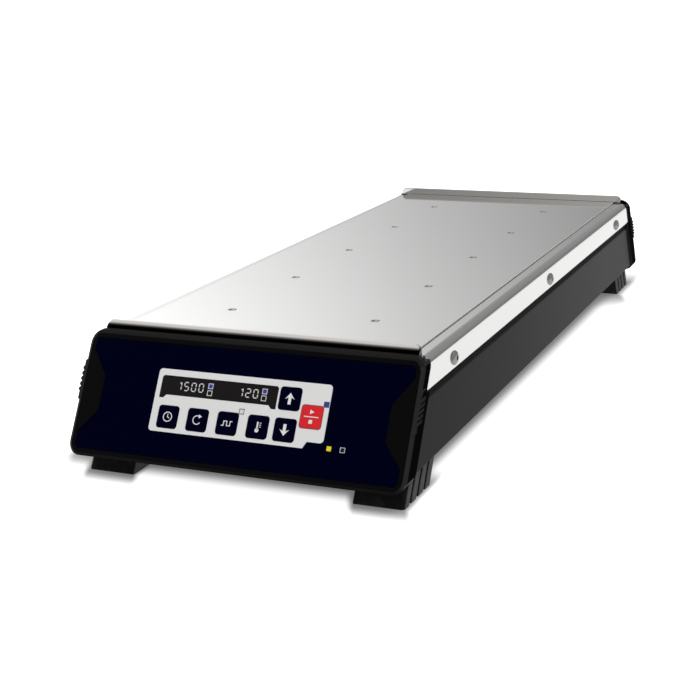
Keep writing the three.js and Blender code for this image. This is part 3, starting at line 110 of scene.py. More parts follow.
def filleted(corners: Sequence[Corner], step: float = 9.0) -> list[Point]:
    """Rounds the corners of an outline.

    Args:
        corners: x, y and radius of each corner, in order.
        step: Largest turn between two points of an arc, in degrees.

    Returns:
        The outline's points, in the same order.
    """
    points: list[Point] = []
    for i, (x, y, radius) in enumerate(corners):
        if radius <= 0:
            points.append((x, y))
            continue
        here = Vector((x, y))
        before = (Vector(corners[i - 1][:2]) - here).normalized()
        after = (Vector(corners[(i + 1) % len(corners)][:2]) - here).normalized()
        half = before.angle(after) / 2
        centre = here + (before + after).normalized() * (radius / math.sin(half))
        start = here + before * (radius / math.tan(half)) - centre
        end = here + after * (radius / math.tan(half)) - centre
        first = math.atan2(start.y, start.x)
        turn = math.remainder(math.atan2(end.y, end.x) - first, math.tau)
        count = max(1, math.ceil(abs(math.degrees(turn)) / step))
        for k in range(count + 1):
            angle = first + turn * k / count
            points.append((centre.x + radius * math.cos(angle), centre.y + radius * math.sin(angle)))
    return points


def rectangle(centre: Point, width: float, height: float, radius: float = 0.0) -> list[Point]:
    """A rounded rectangle about a centre.

    Args:
        centre: Its middle.
        width: Its size across.
        height: Its size up.
        radius: Its corners' radius.

    Returns:
        The outline's points, counterclockwise.
    """
    x, y = centre
    across, up = width / 2, height / 2
    signs = ((1, -1), (1, 1), (-1, 1), (-1, -1))
    return filleted([(x + sx * across, y + sy * up, radius) for sx, sy in signs])


def circle(centre: Point, radius: float, count: int) -> list[Point]:
    """Points round a circle, counterclockwise."""
    turns = [math.tau * i / count for i in range(count)]
    return [(centre[0] + radius * math.cos(t), centre[1] + radius * math.sin(t)) for t in turns]


def arc(radius: float, ends: Point, count: int) -> list[Point]:
    """Points along an arc about zero, between two angles in degrees."""
    angles = [math.radians(ends[0] + (ends[1] - ends[0]) * i / count) for i in range(count + 1)]
    return [(radius * math.cos(a), radius * math.sin(a)) for a in angles]


class Solid:
    """A closed mesh in millimetres, shaped step by step before it becomes a piece."""

    def __init__(self) -> None:
        """Starts with nothing in the mesh."""
        self.mesh = bmesh.new()

    @classmethod
    def loft(cls, rings: Sequence[Sequence[Sequence[float]]], closed: bool = False) -> "Solid":
        """Joins rings of points that have the same count.

        Args:
            rings: The rings, each with its points in order.
            closed: Whether the last ring joins the first, which leaves no end faces.

        Returns:
            The closed solid.
        """
        made = cls()
        loops = [[made.mesh.verts.new(point) for point in ring] for ring in rings]
        following = loops[1:] + (loops[:1] if closed else [])
        for first, second in zip(loops, following):
            for i, vertex in enumerate(first):
                j = (i + 1) % len(first)
                made.mesh.faces.new((vertex, first[j], second[j], second[i]))
        if not closed:
            made.mesh.faces.new(reversed(loops[0]))
            made.mesh.faces.new(loops[-1])
        bmesh.ops.recalc_face_normals(made.mesh, faces=made.mesh.faces)
        return made

    @classmethod
    def prism(cls, outline: Sequence[Point], low: float, high: float) -> "Solid":
        """An outline in XY that stands from one level to another."""
        return cls.loft([[(x, y, z) for x, y in outline] for z in (low, high)])

    @classmethod
    def band(
        cls, path: Sequence[Point], width: float, low: float, high: float, closed: bool = False
    ) -> "Solid":
        """A flat stroke of one width that follows a path.

        Args:
            path: The middle of the stroke.
            width: Its width.
            low: Its lower level.
            high: Its upper level.
            closed: Whether the path's end joins its start.

        Returns:
            The closed solid.
        """
        rings = []
        count = len(path)
        for i, point in enumerate(path):
            here = Vector(point)
            beyond = here * 2 - Vector(path[i - 1])
            before = Vector(path[i - 1]) if closed or i > 0 else here * 2 - Vector(path[1])
            after = Vector(path[(i + 1) % count]) if closed or i < count - 1 else beyond
            entry = (here - before).normalized()
            leave = (after - here).normalized()
            along = (entry + leave).normalized()
            side = Vector((-along.y, along.x)) * (width / 2 / max(MITRE_SHARE, along.dot(entry)))
            left, right = here + side, here - side
            rings.append([(*left, low), (*right, low), (*right, high), (*left, high)])
        return cls.loft(rings, closed)

    @classmethod
    def lathe(cls, profile: Sequence[Point], facets: int) -> "Solid":
        """A profile of radii and heights, turned about Z."""
        return cls.loft([[(*p, z) for p in circle((0.0, 0.0), radius, facets)] for radius, z in profile])

    @classmethod
    def from_node(cls, node: str) -> "Solid":
        """A CAD node as a solid, with its flat faces whole again.

        Args:
            node: The node's name.

        Returns:
            The solid.
        """
        made = cls()
        mesh = made.mesh
        mesh.from_mesh(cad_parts[node].data)
        bmesh.ops.scale(mesh, vec=(1 / MM,) * 3, verts=mesh.verts)
        bmesh.ops.remove_doubles(mesh, verts=mesh.verts, dist=WELD)
        bmesh.ops.dissolve_limit(
            mesh, angle_limit=math.radians(FLAT_TURN), verts=mesh.verts, edges=mesh.edges
        )
        return made

    def copied(self) -> "Solid":
        """A copy of the solid."""
        made = Solid()
        made.mesh = self.mesh.copy()
        return made

    def placed(self, matrix: Matrix) -> "Solid":
        """Passes every point through a matrix, and returns the same solid."""
        bmesh.ops.transform(self.mesh, matrix=matrix, verts=self.mesh.verts)
        return self

    def shifted(self, x: float, y: float, z: float) -> "Solid":
        """Moves the solid, and returns it."""
        return self.placed(Matrix.Translation((x, y, z)))

    def softened(
        self,
        width: float,
        segments: int = 2,
        angle: float = 25.0,
        where: Callable[[bmesh.types.BMEdge], bool] | None = None,
    ) -> "Solid":
        """Rounds the edges that turn by more than an angle.

        Args:
            width: Width of the rounding.
            segments: How many steps it has.
            angle: Least turn of an edge that is rounded, in degrees.
            where: Keeps only the edges that it accepts.

        Returns:
            The same solid.
        """
        limit = math.radians(angle)
        edges = [
            edge for edge in self.mesh.edges
            if edge.is_manifold and edge.calc_face_angle(0.0) > limit and (where is None or where(edge))
        ]
        bmesh.ops.bevel(
            self.mesh, geom=edges, offset=width, offset_type="OFFSET", segments=segments,
            profile=0.5, affect="EDGES", clamp_overlap=True,
        )
        return self

    def picked(self, choose: Callable[[Vector, Vector], bool]) -> "Solid":
        """Picks faces for the second finish.

        Args:
            choose: Whether a face is picked, from its middle and its normal.

        Returns:
            The same solid.
        """
        self.mesh.normal_update()
        for face in self.mesh.faces:
            if choose(face.calc_center_median(), face.normal):
                face.material_index = 1
        return self

    def joined(self, *others: "Solid") -> "Solid":
        """Takes other solids into the same mesh, and returns it."""
        for other in others:
            mesh = bpy.data.meshes.new("other")
            other.mesh.to_mesh(mesh)
            self.mesh.from_mesh(mesh)
            bpy.data.meshes.remove(mesh)
        return self

    def cut(self, other: "Solid") -> "Solid":
        """Cuts another solid off this one.

        Args:
            other: The other solid.

        Returns:
            A new solid.
        """
        subject, tool = self.to_object("subject"), other.to_object("tool")
        modifier = subject.modifiers.new("cut", "BOOLEAN")
        modifier.operation = "DIFFERENCE"
        modifier.solver = "EXACT"
        modifier.object = tool
        bpy.context.view_layer.update()
        result = bpy.data.meshes.new_from_object(
            subject.evaluated_get(bpy.context.evaluated_depsgraph_get())
        )
        made = Solid()
        made.mesh.from_mesh(result)
        for spare in (subject, tool):
            bpy.data.meshes.remove(spare.data)
        bpy.data.meshes.remove(result)
        return made

    def to_object(self, name: str) -> bpy.types.Object:
        """Links the mesh into the scene as it is.

        Args:
            name: The object's name.

        Returns:
            The object.
        """
        mesh = bpy.data.meshes.new(name)
        self.mesh.to_mesh(mesh)
        made = bpy.data.objects.new(name, mesh)
        bpy.context.scene.collection.objects.link(made)
        return made

    def piece(
        self,
        name: str,
        finish: "Finish",
        body: str = CHASSIS,
        stands_for: Sequence[str] = (),
        crease: float = 32.0,
        second: "Finish | None" = None,
    ) -> None:
        """Turns the solid into a piece in metres, shaded, finished and riding on a body.

        Args:
            name: The piece's name.
            finish: Its finish.
            body: The CAD body that it rides on.
            stands_for: The CAD nodes that it replaces.
            crease: Edges that turn by more than this stay sharp, in degrees.
            second: The finish of the faces that were picked out.
        """
        bmesh.ops.scale(self.mesh, vec=(MM,) * 3, verts=self.mesh.verts)
        made = self.to_object(name)
        made.data.shade_smooth()
        made.data.set_sharp_from_angle(angle=math.radians(crease))
        weighted = made.modifiers.new("weighted normals", "WEIGHTED_NORMAL")
        weighted.keep_sharp = True
        for worn in filter(None, (finish, second)):
            made.data.materials.append(material_of(worn))
        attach(made, body)
        if stands_for:
            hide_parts(*stands_for)
        LOG.info("piece %s on %s, %d faces", name, body, len(made.data.polygons))


# Shader maths


class Field:
    """A shader value that Python expressions combine, one Math node a step."""

    def __init__(self, surface: "NodeBoard", socket: Socket) -> None:
        """Wraps a socket of a board of nodes."""
        self.surface = surface
        self.socket = socket

    def maths(self, operation: str, *values: "Field | float") -> "Field":
        """One Math node of an operation on its inputs, in order."""
        node = self.surface.node("ShaderNodeMath", {"operation": operation}, dict(enumerate(values)))
        return Field(self.surface, node.outputs[0])

    def __add__(self, other: "Field | float") -> "Field":
        """Adds."""
        return self.maths("ADD", self, other)

    __radd__ = __add__

    def __mul__(self, other: "Field | float") -> "Field":
        """Multiplies."""
        return self.maths("MULTIPLY", self, other)

    __rmul__ = __mul__

    def __sub__(self, other: "Field | float") -> "Field":
        """Subtracts another value."""
        return self.maths("SUBTRACT", self, other)

    def __rsub__(self, other: "Field | float") -> "Field":
        """Subtracts this from another value."""
        return self.maths("SUBTRACT", other, self)

    def __truediv__(self, other: "Field | float") -> "Field":
        """Divides by another value."""
        return self.maths("DIVIDE", self, other)

    def __rtruediv__(self, other: "Field | float") -> "Field":
        """Divides another value by this."""
        return self.maths("DIVIDE", other, self)

    def __abs__(self) -> "Field":
        """Drops the sign."""
        return self.maths("ABSOLUTE", self)

    def __gt__(self, other: "Field | float") -> "Field":
        """One where this is greater, else zero."""
        return self.maths("GREATER_THAN", self, other)

    def __lt__(self, other: "Field | float") -> "Field":
        """One where this is less, else zero."""
        return self.maths("LESS_THAN", self, other)

    def ramp(self, low: float, high: float) -> "Field":
        """A smooth step from zero at one value to one at another.

        Args:
            low: Where the step starts.
            high: Where it ends.

        Returns:
            The step.
        """
        inputs = {"Value": self, "From Min": low, "From Max": high}
        settings = {"interpolation_type": "SMOOTHSTEP", "clamp": True}
        return Field(self.surface, self.surface.node("ShaderNodeMapRange", settings, inputs).outputs[0])


class NodeBoard:
    """A node tree under construction."""

    def __init__(self, tree: bpy.types.NodeTree) -> None:
        """Starts on an emptied tree."""
        self.tree = tree
        tree.nodes.clear()

    def node(
        self,
        kind: str,
        settings: Mapping[str, object] | None = None,
        inputs: Mapping[str | int, object] | None = None,
    ) -> bpy.types.Node:
        """Makes one node.

        Args:
            kind: The node's type.
            settings: Its own settings, or a ramp's stops, set before its sockets.
            inputs: Values or links of its sockets, by name or place.

        Returns:
            The node.
        """
        made = self.tree.nodes.new(kind)
        for name, value in (settings or {}).items():
            if name == "stops":
                self.set_stops(made, value)
            else:
                setattr(made, name, value)
        self.feed(made, inputs or {})
        return made

    def feed(self, node: bpy.types.Node, inputs: Mapping[str | int, object]) -> None:
        """Links or sets a node's sockets.

        Args:
            node: The node.
            inputs: Values or links of its sockets, by name or place.
        """
        for key, value in inputs.items():
            if isinstance(value, Field):
                self.tree.links.new(value.socket, node.inputs[key])
            elif isinstance(value, Socket):
                self.tree.links.new(value, node.inputs[key])
            else:
                node.inputs[key].default_value = value

    @staticmethod
    def set_stops(node: bpy.types.Node, stops: Sequence[tuple[float, Rgba]]) -> None:
        """Puts the stops of a colour ramp in place.

        Args:
            node: The ramp's node.
            stops: Place and colour of each stop, in order.
        """
        elements = node.color_ramp.elements
        while len(elements) < len(stops):
            elements.new(1.0)
        for element, (place, colour) in zip(elements, stops):
            element.position = place
            element.color = colour

    def blend(self, factor: Field | float, first: object, second: object) -> Socket:
        """Mixes two colours, or links to them, by how much of the second shows."""
        inputs = {0: factor, 6: first, 7: second}
        return self.node("ShaderNodeMix", {"data_type": "RGBA"}, inputs).outputs[2]


class Detail(Enum):
    """How many finer layers a noise has."""

    PLAIN = 2.0
    FINE = 3.0
    RICH = 4.0
    FIBROUS = 5.0


class Surface(NodeBoard):
    """A material under construction, with its shader and its coordinates in metres."""

    def __init__(self, name: str) -> None:
        """Makes the material, its shader and its output.

        Args:
            name: The material's name.
        """
        self.material = bpy.data.materials.new(name)
        self.material.use_nodes = True
        super().__init__(self.material.node_tree)
        self.shader = self.node("ShaderNodeBsdfPrincipled")
        self.node("ShaderNodeOutputMaterial", inputs={0: self.shader.outputs[0]})
        self.position = self.node("ShaderNodeTexCoord").outputs["Object"]
        axes = self.node("ShaderNodeSeparateXYZ", inputs={0: self.position}).outputs
        self.x, self.y, self.z = (Field(self, axis) for axis in axes)

    def noise(
        self,
        size: float,
        stretch: Sequence[float] = (1.0, 1.0, 1.0),
        detail: Detail = Detail.PLAIN,
    ) -> Field:
        """Soft random variation.

        Args:
            size: Size of its blotches, in millimetres.
            stretch: How many times closer together they are along each axis.
            detail: How fine it gets.

        Returns:
            A value from zero to one, about a half on average.
        """
        scaled = self.node(
            "ShaderNodeVectorMath", {"operation": "MULTIPLY"}, {0: self.position, 1: tuple(stretch)}
        ).outputs[0]
        inputs = {"Vector": scaled, "Scale": 1 / (size * MM), "Detail": detail.value}
        return Field(self, self.node("ShaderNodeTexNoise", inputs=inputs).outputs[0])

    def cells(self, size: float) -> Field:
        """Distance from the nearest of many scattered points, in shares of their spacing."""
        inputs = {"Vector": self.position, "Scale": 1 / (size * MM)}
        return Field(self, self.node("ShaderNodeTexVoronoi", inputs=inputs).outputs[0])

    def bump(self, height: Field, depth: float) -> Socket:
        """The normal of a small relief, from its height in shares of its depth in millimetres."""
        inputs = {"Strength": 1.0, "Distance": depth * MM, "Height": height}
        return self.node("ShaderNodeBump", inputs=inputs).outputs[0]

    def shade(self, inputs: Mapping[str, object]) -> None:
        """Links or sets the shader's sockets, by name."""
        self.feed(self.shader, inputs)


# Finishes


class Grain(Enum):
    """Direction of a metal's grain, as how much closer together it is along each axis."""

    ALONG = (1.0, 0.03, 1.0)
    EVEN = (1.0, 1.0, 1.0)


@dataclass(frozen=True)
class Finish:
    """What every finish has: a name, and a slot name that this script does not use."""

    name: str
    slot: str

    def dress(self, surface: Surface) -> None:
        """Builds the finish on a surface."""
        raise NotImplementedError


@lru_cache(maxsize=None)
def material_of(finish: Finish) -> bpy.types.Material:
    """The one material of a finish.

    Args:
        finish: The finish.

    Returns:
        Its material, made at the first call.
    """
    surface = Surface(finish.name)
    finish.dress(surface)
    return surface.material


@dataclass(frozen=True)
class Metal(Finish):
    """Bare metal with a fine grain and faint clouds, which also sway its roughness."""

    tint: str = "F0EFED"
    roughness: float = 0.1
    grain: Grain = Grain.EVEN
    grain_size: float = 0.25
    grain_depth: float = 0.0006
    grain_share: float = 0.6
    grain_sway: float = 0.05
    cloud_size: float = 70.0
    cloud_sway: float = 0.04
    unevenness: float = 0.05

    def dress(self, surface: Surface) -> None:
        """Builds the metal on a surface.

        Args:
            surface: The surface to dress.
        """
        grain = self.grained(surface)
        cloud = surface.noise(self.cloud_size)
        base = paint(self.tint)
        worn = tuple(value * (1 - self.unevenness) for value in base[:3]) + (1.0,)
        wear = grain * self.grain_share + cloud * (1 - self.grain_share)
        least = self.roughness - (self.grain_sway + self.cloud_sway) / 2
        surface.shade({
            "Base Color": self.wear_and_painted_light(surface, surface.blend(wear, base, worn)),
            "Metallic": 1.0,
            "Roughness": grain * self.grain_sway + cloud * self.cloud_sway + least,
            "Normal": surface.bump(grain, self.grain_depth),
        })

    def grained(self, surface: Surface) -> Field:
        """The grain."""
        return surface.noise(self.grain_size, self.grain.value, Detail.FINE)

    def wear_and_painted_light(self, surface: Surface, colour: Socket) -> Socket:
        """The colour with its wear and painted light, of which plain metal has none."""
        return colour


@dataclass(frozen=True)
class CoverSteel(Metal):
    """Brushed steel with a painted dark reflection down its lips' outer flanks, next to the caps."""

    crest: float = 229.3
    foot: float = 73.2
    painted_dark_bottom: float = 76.2
    painted_dark_top: float = 78.2
    painted_dark_tint: str = "060606"

    def wear_and_painted_light(self, surface: Surface, colour: Socket) -> Socket:
        """Paints a dark reflection down the lips' flanks.

        Args:
            surface: The surface that is dressed.
            colour: The steel's colour.

        Returns:
            The colour with its painted dark reflection.
        """
        # Painted dark reflection: both lips' outer flanks are painted near black below 76.2 mm, turning back
        # to steel towards the crest.
        flank = (abs(surface.y) > self.crest * MM) * (surface.z > self.foot * MM)
        bright = surface.z.ramp(self.painted_dark_bottom * MM, self.painted_dark_top * MM)
        return surface.blend(flank * (1 - bright * bright), colour, paint(self.painted_dark_tint))


@dataclass(frozen=True)
class PlateSteel(Metal):
    """Polished steel skin whose sheared side rims stay satin."""

    rim: float = 87.42
    rim_roughness: float = 0.35
    rim_metallic: float = 0.65

    def dress(self, surface: Surface) -> None:
        """Builds the skin's metal on a surface.

        Args:
            surface: The surface to dress.
        """
        super().dress(surface)
        rim = abs(surface.x) > self.rim * MM
        least = self.roughness - self.grain_sway / 2
        surface.shade({
            "Metallic": 1 - rim * (1 - self.rim_metallic),
            "Roughness": rim * self.rim_roughness + self.grained(surface) * self.grain_sway + least,
        })


@dataclass(frozen=True)
class MarkSteel(Finish):
    """The dimples, with painted reflections: a light middle band between two dark ones, and a light rim."""

    centre: float = 45.0
    light: str = "B9B4AE"
    light_metallic: float = 0.9
    painted_dark: str = "6A625C"
    dark_metallic: float = 0.2
    dark_start: float = 0.7
    dark_end: float = 2.1
    fade: float = 0.3
    grain_size: float = 0.3
    least_roughness: float = 0.35
    roughness_sway: float = 0.1

    def dress(self, surface: Surface) -> None:
        """Builds the dimples' metal on a surface.

        Args:
            surface: The surface to dress.
        """
        # Painted reflection: each dimple gets a dark band either side of its middle and stays light between
        # and beyond them.
        side = abs(abs(surface.x) - self.centre * MM)
        painted_dark = side.ramp(self.dark_start * MM, (self.dark_start + self.fade) * MM)
        painted_dark = painted_dark * (1 - side.ramp(self.dark_end * MM, (self.dark_end + self.fade) * MM))
        surface.shade({
            "Base Color": surface.blend(painted_dark, paint(self.light), paint(self.painted_dark)),
            "Metallic": self.light_metallic - painted_dark * (self.light_metallic - self.dark_metallic),
            "Roughness": surface.noise(self.grain_size) * self.roughness_sway + self.least_roughness,
        })


@dataclass(frozen=True)
class Coating(Finish):
    """Paint, moulded plastic or film: one colour with fine relief and a little dust."""

    tint: str = "3A3A3A"
    roughness: float = 0.5
    specular: float = 0.3
    relief_size: float = 0.5
    relief_depth: float = 0.02
    relief_share: float = 0.5
    relief_sway: float = 0.08
    dust: float = 0.02
    dust_level: float = 0.6
    cloud_size: float = 40.0
    cloud_span: Point = (0.35, 0.7)
    cloud_sway: float = 0.06

    def dress(self, surface: Surface) -> None:
        """Builds the coating on a surface.

        Args:
            surface: The surface to dress.
        """
        relief = surface.noise(self.relief_size, detail=Detail.FINE)
        cloud = surface.noise(self.cloud_size, detail=Detail.RICH)
        base = paint(self.tint)
        dusty = tuple(value + self.dust * (self.dust_level - value) for value in base[:3]) + (1.0,)
        dust = relief * self.relief_share + cloud.ramp(*self.cloud_span) * (1 - self.relief_share)
        least = self.roughness - (self.relief_sway + self.cloud_sway) / 2
        surface.shade({
            "Base Color": self.wear_and_painted_light(surface, surface.blend(dust, base, dusty), cloud),
            "Roughness": relief * self.relief_sway + cloud * self.cloud_sway + least,
            "Specular IOR Level": self.specular,
            "Normal": surface.bump(relief, self.relief_depth),
        })

    def wear_and_painted_light(self, surface: Surface, colour: Socket, cloud: Field) -> Socket:
        """The colour with its wear and painted light, of which plain coatings have none."""
        return colour


@dataclass(frozen=True)
class Film(Coating):
    """Printed film and the key caps under it, with a skin finer than paint's."""

    relief_size: float = 0.25
    relief_depth: float = 0.006


@dataclass(frozen=True)
class Ink(Coating):
    """Print on film or plastic."""

    specular: float = 0.1


@dataclass(frozen=True)
class TrayPaint(Coating):
    """The tray's paint: worn along its folds, with painted shade under the skirts and a painted sheen that
    makes it paler to the rear.
    """

    worn_tint: str = "8A8A8A"
    worn_start: float = 16.1
    worn_end: float = 16.9
    worn_share: float = 0.3
    blotch_share: float = 0.5
    skirt_shade_tint: str = "101010"
    skirt_shade_start: float = 50.0
    skirt_shade_end: float = 52.0
    painted_sheen_tint: str = "555555"
    painted_sheen_reach: float = 260.0

    def wear_and_painted_light(self, surface: Surface, colour: Socket, cloud: Field) -> Socket:
        """Lays painted sheen, wear and painted shade over the paint.

        Args:
            surface: The surface that is dressed.
            colour: The paint's colour.
            cloud: The blotches that wear follows.

        Returns:
            The colour with its painted sheen, wear and painted shade.
        """
        # Painted sheen: the paint grows paler from front to rear, standing in for the side's brighter
        # reflection further back.
        pale = surface.y.ramp(-self.painted_sheen_reach * MM, self.painted_sheen_reach * MM)
        worn = 1 - surface.z.ramp(self.worn_start * MM, self.worn_end * MM)
        worn = worn * (cloud * self.blotch_share + self.worn_share)
        # Painted shade under the skirts: the paint turns dark above 52 mm, fading in from 50 mm.
        skirt_shade = surface.z.ramp(self.skirt_shade_start * MM, self.skirt_shade_end * MM)
        wear_and_painted_light = surface.blend(pale, colour, paint(self.painted_sheen_tint))
        wear_and_painted_light = surface.blend(worn, wear_and_painted_light, paint(self.worn_tint))
        return surface.blend(skirt_shade, wear_and_painted_light, paint(self.skirt_shade_tint))


@dataclass(frozen=True)
class CapPlastic(Coating):
    """Black moulding with painted light on a strip behind its face's edge, on its top and on its side ribs.
    """

    painted_light_tint: str = "2A2A2A"
    painted_light_share: float = 0.85
    blotch_share: float = 0.3
    painted_top_tint: str = "1C1C1C"
    painted_top_start: float = 70.0
    painted_top_end: float = 71.0
    foot_start: float = 13.0
    foot_end: float = 18.0
    rim: float = 0.12
    reach: float = 60.0

    def wear_and_painted_light(self, surface: Surface, colour: Socket, cloud: Field) -> Socket:
        """Paints light on the strip behind the face's edge and on the top.

        Args:
            surface: The surface that is dressed.
            colour: The plastic's colour.
            cloud: The blotches that the painted light follows.

        Returns:
            The colour with its painted light.
        """
        # Painted light: a strip from just behind the face's edge to a set depth, and the top, are painted
        # paler, fading out near the bottom.
        lean = math.radians(FACE_LEAN)
        inward = (FACE_REACH * MM - abs(surface.y)) * math.sin(lean)
        depth = inward - (surface.z - PLATE_LEVEL * MM) * math.cos(lean)
        painted_lit = (depth > self.rim * MM) * (depth < self.reach * MM)
        painted_lit = painted_lit * (cloud * self.blotch_share + self.painted_light_share)
        painted_lit = painted_lit * surface.z.ramp(self.foot_start * MM, self.foot_end * MM)
        top = surface.z.ramp(self.painted_top_start * MM, self.painted_top_end * MM)
        # Colour of the painted light: the lit strip's tint, and the lit top's tint above 70 mm.
        worn = surface.blend(top, paint(self.painted_light_tint), paint(self.painted_top_tint))
        return surface.blend(painted_lit, colour, worn)


@dataclass(frozen=True)
class CapSidePlastic(CapPlastic):
    """The same moulding's sides, where the ribs get painted light too."""

    reach: float = 2.8
    ribs: float = 99.6

    def wear_and_painted_light(self, surface: Surface, colour: Socket, cloud: Field) -> Socket:
        """Paints light on the front edge strip and the ribs."""
        edged = super().wear_and_painted_light(surface, colour, cloud)
        # Painted light on the rib tops, more than 99.6 mm out.
        return surface.blend(abs(surface.x) > self.ribs * MM, edged, paint(self.painted_light_tint))


@dataclass(frozen=True)
class Rubber(Finish):
    """Matt rubber with a coarse skin and a little chalk, with painted light on its inner sides and its
    ribbed outer sides.
    """

    tint: str = "191919"
    specular: float = 0.05
    skin_size: float = 0.7
    skin_depth: float = 0.08
    least_roughness: float = 0.65
    roughness_sway: float = 0.2
    chalk: str = "3A3A3A"
    chalk_size: float = 6.0
    chalk_span: Point = (0.45, 0.75)
    chalk_share: float = 0.35
    painted_light_tint: str = "5C5C5C"
    painted_light_share: float = 0.8
    inner: float = 65.4
    outer: float = 93.4

    def dress(self, surface: Surface) -> None:
        """Builds the rubber on a surface.

        Args:
            surface: The surface to dress.
        """
        skin = surface.noise(self.skin_size, detail=Detail.RICH)
        chalky = surface.noise(self.chalk_size, detail=Detail.FINE).ramp(*self.chalk_span)
        colour = surface.blend(chalky * self.chalk_share, paint(self.tint), paint(self.chalk))
        # Painted light: the feet's inner sides and their ribbed outer sides are painted paler, as where
        # light falls on them.
        across = abs(surface.x)
        painted_lit = (across < self.inner * MM) + (across > self.outer * MM)
        painted_lit = painted_lit * (chalky * (1 - self.painted_light_share) + self.painted_light_share)
        surface.shade({
            "Base Color": surface.blend(painted_lit, colour, paint(self.painted_light_tint)),
            "Roughness": skin * self.roughness_sway + self.least_roughness,
            "Specular IOR Level": self.specular,
            "Normal": surface.bump(skin, self.skin_depth),
        })


@dataclass(frozen=True)
class Smoked(Finish):
    """Dark clear plastic with a faint haze."""

    tint: str = "1A1718"
    specular: float = 0.08
    least_roughness: float = 0.19
    roughness_sway: float = 0.06
    haze: str = "201D1E"
    haze_size: float = 5.0
    haze_share: float = 0.3

    def dress(self, surface: Surface) -> None:
        """Builds the smoked plastic on a surface.

        Args:
            surface: The surface to dress.
        """
        haze = surface.noise(self.haze_size, detail=Detail.FINE)
        surface.shade({
            "Base Color": surface.blend(haze * self.haze_share, paint(self.tint), paint(self.haze)),
            "Roughness": haze * self.roughness_sway + self.least_roughness,
            "Specular IOR Level": self.specular,
        })


@dataclass(frozen=True)
class Light(Finish):
    """A light pipe, lit or not, brighter in the middle of its speckles."""

    tint: str
    glow: float = 0.0
    gain: float = 1.25
    specular: float = 0.3
    speckle_size: float = 0.4
    least_roughness: float = 0.25
    roughness_sway: float = 0.1

    def dress(self, surface: Surface) -> None:
        """Builds the light pipe on a surface.

        Args:
            surface: The surface to dress.
        """
        speckle = surface.noise(self.speckle_size)
        base = paint(self.tint)
        bright = tuple(min(1.0, value * self.gain) for value in base[:3]) + (1.0,)
        colour = surface.blend(speckle, base, bright)
        surface.shade({
            "Base Color": colour,
            "Emission Color": colour,
            "Emission Strength": self.glow,
            "Roughness": speckle * self.roughness_sway + self.least_roughness,
            "Specular IOR Level": self.specular,
        })


@dataclass(frozen=True)
class Board(Finish):
    """Circuit board with tracks and solder points, and parts above a level in another colour."""

    tint: str = "17492C"
    track: str = "2F7A4B"
    track_pitch: float = 4.0
    track_span: Point = (0.32, 0.36)
    track_share: float = 0.35
    solder: str = "B9B7AE"
    solder_pitch: float = 2.5
    solder_reach: float = 0.16
    solder_share: float = 0.8
    parts: str = "1B1B1E"
    parts_worn: float = 0.35
    parts_share: float = 0.4
    level: float = 1000.0
    grain_size: float = 0.5
    least_roughness: float = 0.35
    roughness_sway: float = 0.15
    relief: float = 0.04

    def dress(self, surface: Surface) -> None:
        """Builds the board on a surface.

        Args:
            surface: The surface to dress.
        """
        tracks = surface.cells(self.track_pitch).ramp(*self.track_span)
        solder = surface.cells(self.solder_pitch) < self.solder_reach
        board = surface.blend(tracks * self.track_share, paint(self.tint), paint(self.track))
        board = surface.blend(solder * self.solder_share, board, paint(self.solder))
        fine = surface.noise(self.grain_size, detail=Detail.FINE)
        parts = surface.blend(fine * self.parts_share, paint(self.parts), grey(self.parts_worn))
        surface.shade({
            "Base Color": surface.blend(surface.z > self.level * MM, board, parts),
            "Roughness": fine * self.roughness_sway + self.least_roughness,
            "Normal": surface.bump(fine + solder, self.relief),
        })


@dataclass(frozen=True)
class TwoMetals(Finish):
    """Metal below a level and a darker one above it."""

    level: float
    lower: str = "A9A9AB"
    lower_worn: float = 0.25
    upper: str = "4B4A4C"
    upper_worn: float = 0.3
    worn_share: float = 0.3
    grain_size: float = 0.4
    grain_depth: float = 0.01
    least_roughness: float = 0.35
    roughness_sway: float = 0.15

    def dress(self, surface: Surface) -> None:
        """Builds both metals on a surface.

        Args:
            surface: The surface to dress.
        """
        grain = surface.noise(self.grain_size, detail=Detail.FINE)
        wear = grain * self.worn_share
        lower = surface.blend(wear, paint(self.lower), grey(self.lower_worn))
        upper = surface.blend(wear, paint(self.upper), grey(self.upper_worn))
        surface.shade({
            "Base Color": surface.blend(surface.z > self.level * MM, lower, upper),
            "Metallic": 1.0,
            "Roughness": grain * self.roughness_sway + self.least_roughness,
            "Normal": surface.bump(grain, self.grain_depth),
        })


